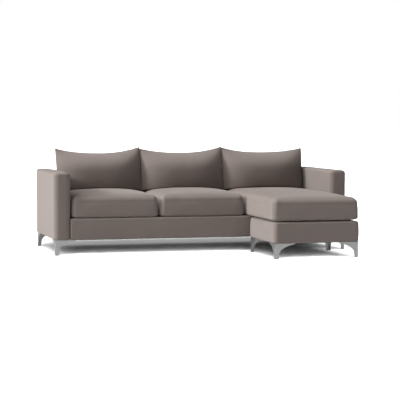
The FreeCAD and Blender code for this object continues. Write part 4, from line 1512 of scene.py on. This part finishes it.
@dataclass
class Legs:
    """Eight bracket legs of folded steel plate, with the screws that hold them."""

    plate_under: float = 110.7 * MM
    head: float = 4.2 * MM

    def build(self, finishes: Finishes) -> None:
        """Finishes each leg and adds its screws."""
        nodes = [f"{f}_{s}_leg" for f in ("front", "rear") for s in ("left", "right")]
        for body, prefix in (("sofa", ""), ("ottoman", "ottoman_")):
            for node in nodes:
                made = frame_node(prefix + node)
                rounding = made.modifiers.new("rounding", "BEVEL")
                rounding.width = 0.5 * MM
                rounding.segments = 2
                rounding.angle_limit = math.radians(40)
                refinish(made, finishes.steel)
                self._screws(prefix + node, body, node, finishes)

    def _screws(self, node: str, body: str, place: str, finishes: Finishes) -> None:
        """Makes three cross-head screws under the corner plate."""
        low, high = span(node)
        across = 1 if "left" in place else -1
        deep = 1 if "front" in place else -1
        x, y = low[0] if across > 0 else high[0], low[1] if deep > 0 else high[1]
        corner = Vector((x, y, self.plate_under))
        points, faces = [], []
        for a, b in ((22, 22), (72, 20), (20, 72)):
            centre = corner + Vector((across * a * MM, deep * b * MM, 0))
            self._screw(centre, points, faces)
        made = mesh_object(f"{node}_screws", np.array(points), faces)
        dressed(made, finishes.zinc, "zinc_steel", body)

    def _screw(self, centre: Vector, points: list, faces: list) -> None:
        """Adds one domed head with a cross recess, hanging below a point."""
        rings = ((1.0, 0.4), (1.0, -0.3), (0.93, -1.0), (0.74, -1.6), (0.5, -1.95), (0.28, -2.1))
        sides = 24
        base = len(points)
        for share, drop in rings:
            for k in range(sides):
                points.append(self._around(centre, self.head * share, k / sides, drop * MM))
        for n in range(len(rings) - 1):
            for k in range(sides):
                a, b = base + n * sides + k, base + n * sides + (k + 1) % sides
                faces.append((a, b, b + sides, a + sides))
        last = base + (len(rings) - 1) * sides
        for k in range(sides):
            cross = 0.35 if k % 6 in (2, 3, 4) else 1.0
            points.append(self._around(centre, self.head * 0.24 * cross, k / sides, -1.2 * MM))
        for k in range(sides):
            a, b = last + k, last + (k + 1) % sides
            faces.append((a, b, b + sides, a + sides))
        floor = tuple(last + sides + k for k in range(sides))
        faces.append(floor[::-1])
        faces.append(tuple(base + k for k in range(sides))[::-1])

    @staticmethod
    def _around(centre: Vector, reach: float, turn: float, lift: float) -> tuple[float, float, float]:
        """A point at a share of a turn round an upright axis."""
        angle = math.tau * turn
        return centre.x + reach * math.cos(angle), centre.y + reach * math.sin(angle), centre.z + lift


@dataclass
class Frames:
    """The hidden frames: their own shapes stay, with real finishes."""

    grain_across: tuple[str, ...] = ("front_seat_rail", "rear_seat_rail", "back_frame", "ottoman_rails",
                                     "ottoman_top_board")
    grain_deep: tuple[str, ...] = ("seat_end_rails", "seat_stretchers", "seat_corner_blocks",
                                   "left_arm_frame", "right_arm_frame", "ottoman_corner_blocks")

    def build(self, finishes: Finishes) -> None:
        """Finishes the timber and connectors."""
        for node in self.grain_across:
            refinish(frame_node(node), finishes.timber[Axis.ACROSS])
        for node in self.grain_deep:
            refinish(frame_node(node), finishes.timber[Axis.DEEP])
        for node in ("seat_dovetails", "arm_sockets"):
            refinish(frame_node(node), finishes.zinc)


FRAME: dict = {}


def frame_node(name: str) -> bpy.types.Object:
    """CAD node's object."""
    return FRAME["nodes"][name]


def refinish(made: bpy.types.Object, finish: bpy.types.Material) -> None:
    """Puts one finish on every material slot of a CAD node."""
    if not made.material_slots:
        made.data.materials.append(finish)
    for slot in made.material_slots:
        slot.material = finish
    LOG.info("%s refinished", made.name)


# Studio

LIT_PLACE = Vector((-0.4, 0.2, 0.4))


@dataclass(frozen=True)
class Lamp:
    """A soft light, described by where it stands as seen from the sofa.

    Attributes:
        name: the light's name.
        power: its strength, as the light that reaches LIT_PLACE, a point on the sofa.
        turn: its direction round the sofa in degrees, 0 from the front and 90 from the left.
        lift: its height above the horizon in degrees.
        softness: its apparent width in degrees.
        on_floor: True if it lights only the floor, False if it leaves the floor alone.
        distance: how far away it stands, or 0 if it is endlessly far.
    """

    name: str
    power: float
    turn: float
    lift: float
    softness: float
    on_floor: bool
    distance: float = 0.0

    def build(self, floor: bpy.types.Object) -> None:
        """Makes the light and links it to what it lights."""
        lift, turn = math.radians(self.lift), math.radians(self.turn)
        flat = math.cos(lift)
        toward = Vector((-math.sin(turn) * flat, -math.cos(turn) * flat, math.sin(lift)))
        near = self.distance > 0
        lamp = bpy.data.lights.new(self.name, "POINT" if near else "SUN")
        made = bpy.data.objects.new(self.name, lamp)
        if near:
            lamp.energy = self.power * 4 * math.pi * self.distance ** 2
            lamp.shadow_soft_size = self.distance * math.tan(math.radians(self.softness) / 2)
            made.location = LIT_PLACE + toward * self.distance
        else:
            lamp.energy = self.power
            lamp.angle = math.radians(self.softness)
            made.rotation_mode = "QUATERNION"
            made.rotation_quaternion = toward.to_track_quat("Z", "Y")
        bpy.context.collection.objects.link(made)
        lit = bpy.data.collections.new(f"{self.name}_lights")
        lit.objects.link(floor)
        made.light_linking.receiver_collection = lit
        if not self.on_floor:
            lit.collection_objects[0].light_linking.link_state = "EXCLUDE"


@dataclass
class Studio:
    """Pale floor, soft light and the camera."""

    surround: float = 0.085
    floor_half: float = 60.0
    floor_bounce: float = 0.36
    lamps: tuple[Lamp, ...] = (
        Lamp("key", 2.5, 83.0, 25.5, 12.0, False, 10.0),
        Lamp("high_left", 3.7, 90.0, 60.0, 60.0, False),
        Lamp("floor_front", 14.5, 10.0, 30.0, 60.0, True),
        Lamp("floor_overhead", 1.2, 0.0, 90.0, 150.0, True),
    )
    eye: Vector = field(default_factory=lambda: Vector((-2.8846, -11.1063, 1.0289)))
    eye_turn: float = 0.2541494
    eye_drop: float = 0.0552165
    focal: float = 1498.14
    frame: float = 400.0
    sensor: float = 36.0

    def build(self) -> None:
        """Makes the floor, lights and camera."""
        floor = self._floor()
        self._sky()
        for lamp in self.lamps:
            lamp.build(floor)
        self._camera()

    def _floor(self) -> bpy.types.Object:
        """Makes a wide plain floor that throws only some of its light back on the sofa."""
        wide = self.floor_half
        corners = np.array([(-wide, -wide, 0), (wide, -wide, 0), (wide, wide, 0), (-wide, wide, 0)])
        floor = mesh_object("floor", corners, [(0, 1, 2, 3)])
        bench = Bench("studio_floor")
        grain = bench.noise(bench.coordinates("Object"), 2.0, 2.0)
        seen = Signal(bench, bench.node("ShaderNodeLightPath").outputs["Is Camera Ray"])
        share = seen * (1.0 - self.floor_bounce) + self.floor_bounce
        pale = bench.between(grain, (0.93, 0.93, 0.93), (0.90, 0.90, 0.90))
        floor.data.materials.append(bench.finish({
            "Base Color": bench.times(pale, share),
            "Roughness": 0.9,
            "Specular IOR Level": 0.1,
        }))
        return floor

    def _sky(self) -> None:
        """Makes an even, dim surround that is plain white to the camera."""
        world = bpy.data.worlds.new("surround")
        world.use_nodes = True
        tree = world.node_tree
        tree.nodes.clear()
        path = tree.nodes.new("ShaderNodeLightPath")
        lit = tree.nodes.new("ShaderNodeBackground")
        seen = tree.nodes.new("ShaderNodeBackground")
        for shade, strength in ((lit, self.surround), (seen, 1.0)):
            shade.inputs["Color"].default_value = (1.0, 1.0, 1.0, 1.0)
            shade.inputs["Strength"].default_value = strength
        mix = tree.nodes.new("ShaderNodeMixShader")
        out = tree.nodes.new("ShaderNodeOutputWorld")
        for start, end in (
            (path.outputs["Is Camera Ray"], mix.inputs[0]), (lit.outputs[0], mix.inputs[1]),
            (seen.outputs[0], mix.inputs[2]), (mix.outputs[0], out.inputs[0]),
        ):
            tree.links.new(start, end)
        bpy.context.scene.world = world

    def _camera(self) -> None:
        """Places the camera at the photograph's view."""
        lens = bpy.data.cameras.new("camera")
        lens.sensor_width = self.sensor
        lens.lens = self.focal / self.frame * self.sensor
        lens.clip_end = 200
        camera = bpy.data.objects.new("camera", lens)
        camera.location = self.eye
        camera.rotation_euler = (math.pi / 2 - self.eye_drop, 0, -self.eye_turn)
        bpy.context.collection.objects.link(camera)
        scene = bpy.context.scene
        scene.camera = camera
        scene.view_settings.view_transform = "Standard"


def main() -> None:
    """Builds the sofa round its frame, piece by piece."""
    logging.basicConfig(level=logging.INFO, format="%(name)s: %(message)s")
    FRAME.update(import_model())
    finishes = Finishes()
    Studio().build()
    for side, seed, swell in (("left_seat", 1.0, 1.0), ("middle_seat", 2.0, 1.0), ("chaise", 3.0, 3.5)):
        SeatCushion(side, seed, swell * MM).build(finishes)
    for side, seed, ears, free in (
        ("left", 51.0, (0.784, 0.792), (1.0, 0.0)), ("middle", 52.0, (0.779, 0.792), (0.0, 0.0)),
        ("right", 53.0, (0.785, 0.777), (0.0, 1.0)),
    ):
        BackCushion(side, seed, ears, free).build(finishes)
    Arm("left", 61.0).build(finishes)
    Arm("right", 62.0).build(finishes)
    SeatFront().build(finishes)
    BackRest().build(finishes)
    Ottoman().build(finishes)
    Undersides().build(finishes)
    Straps().build(finishes)
    Legs().build(finishes)
    Frames().build(finishes)


if __name__ == "__main__":
    main()
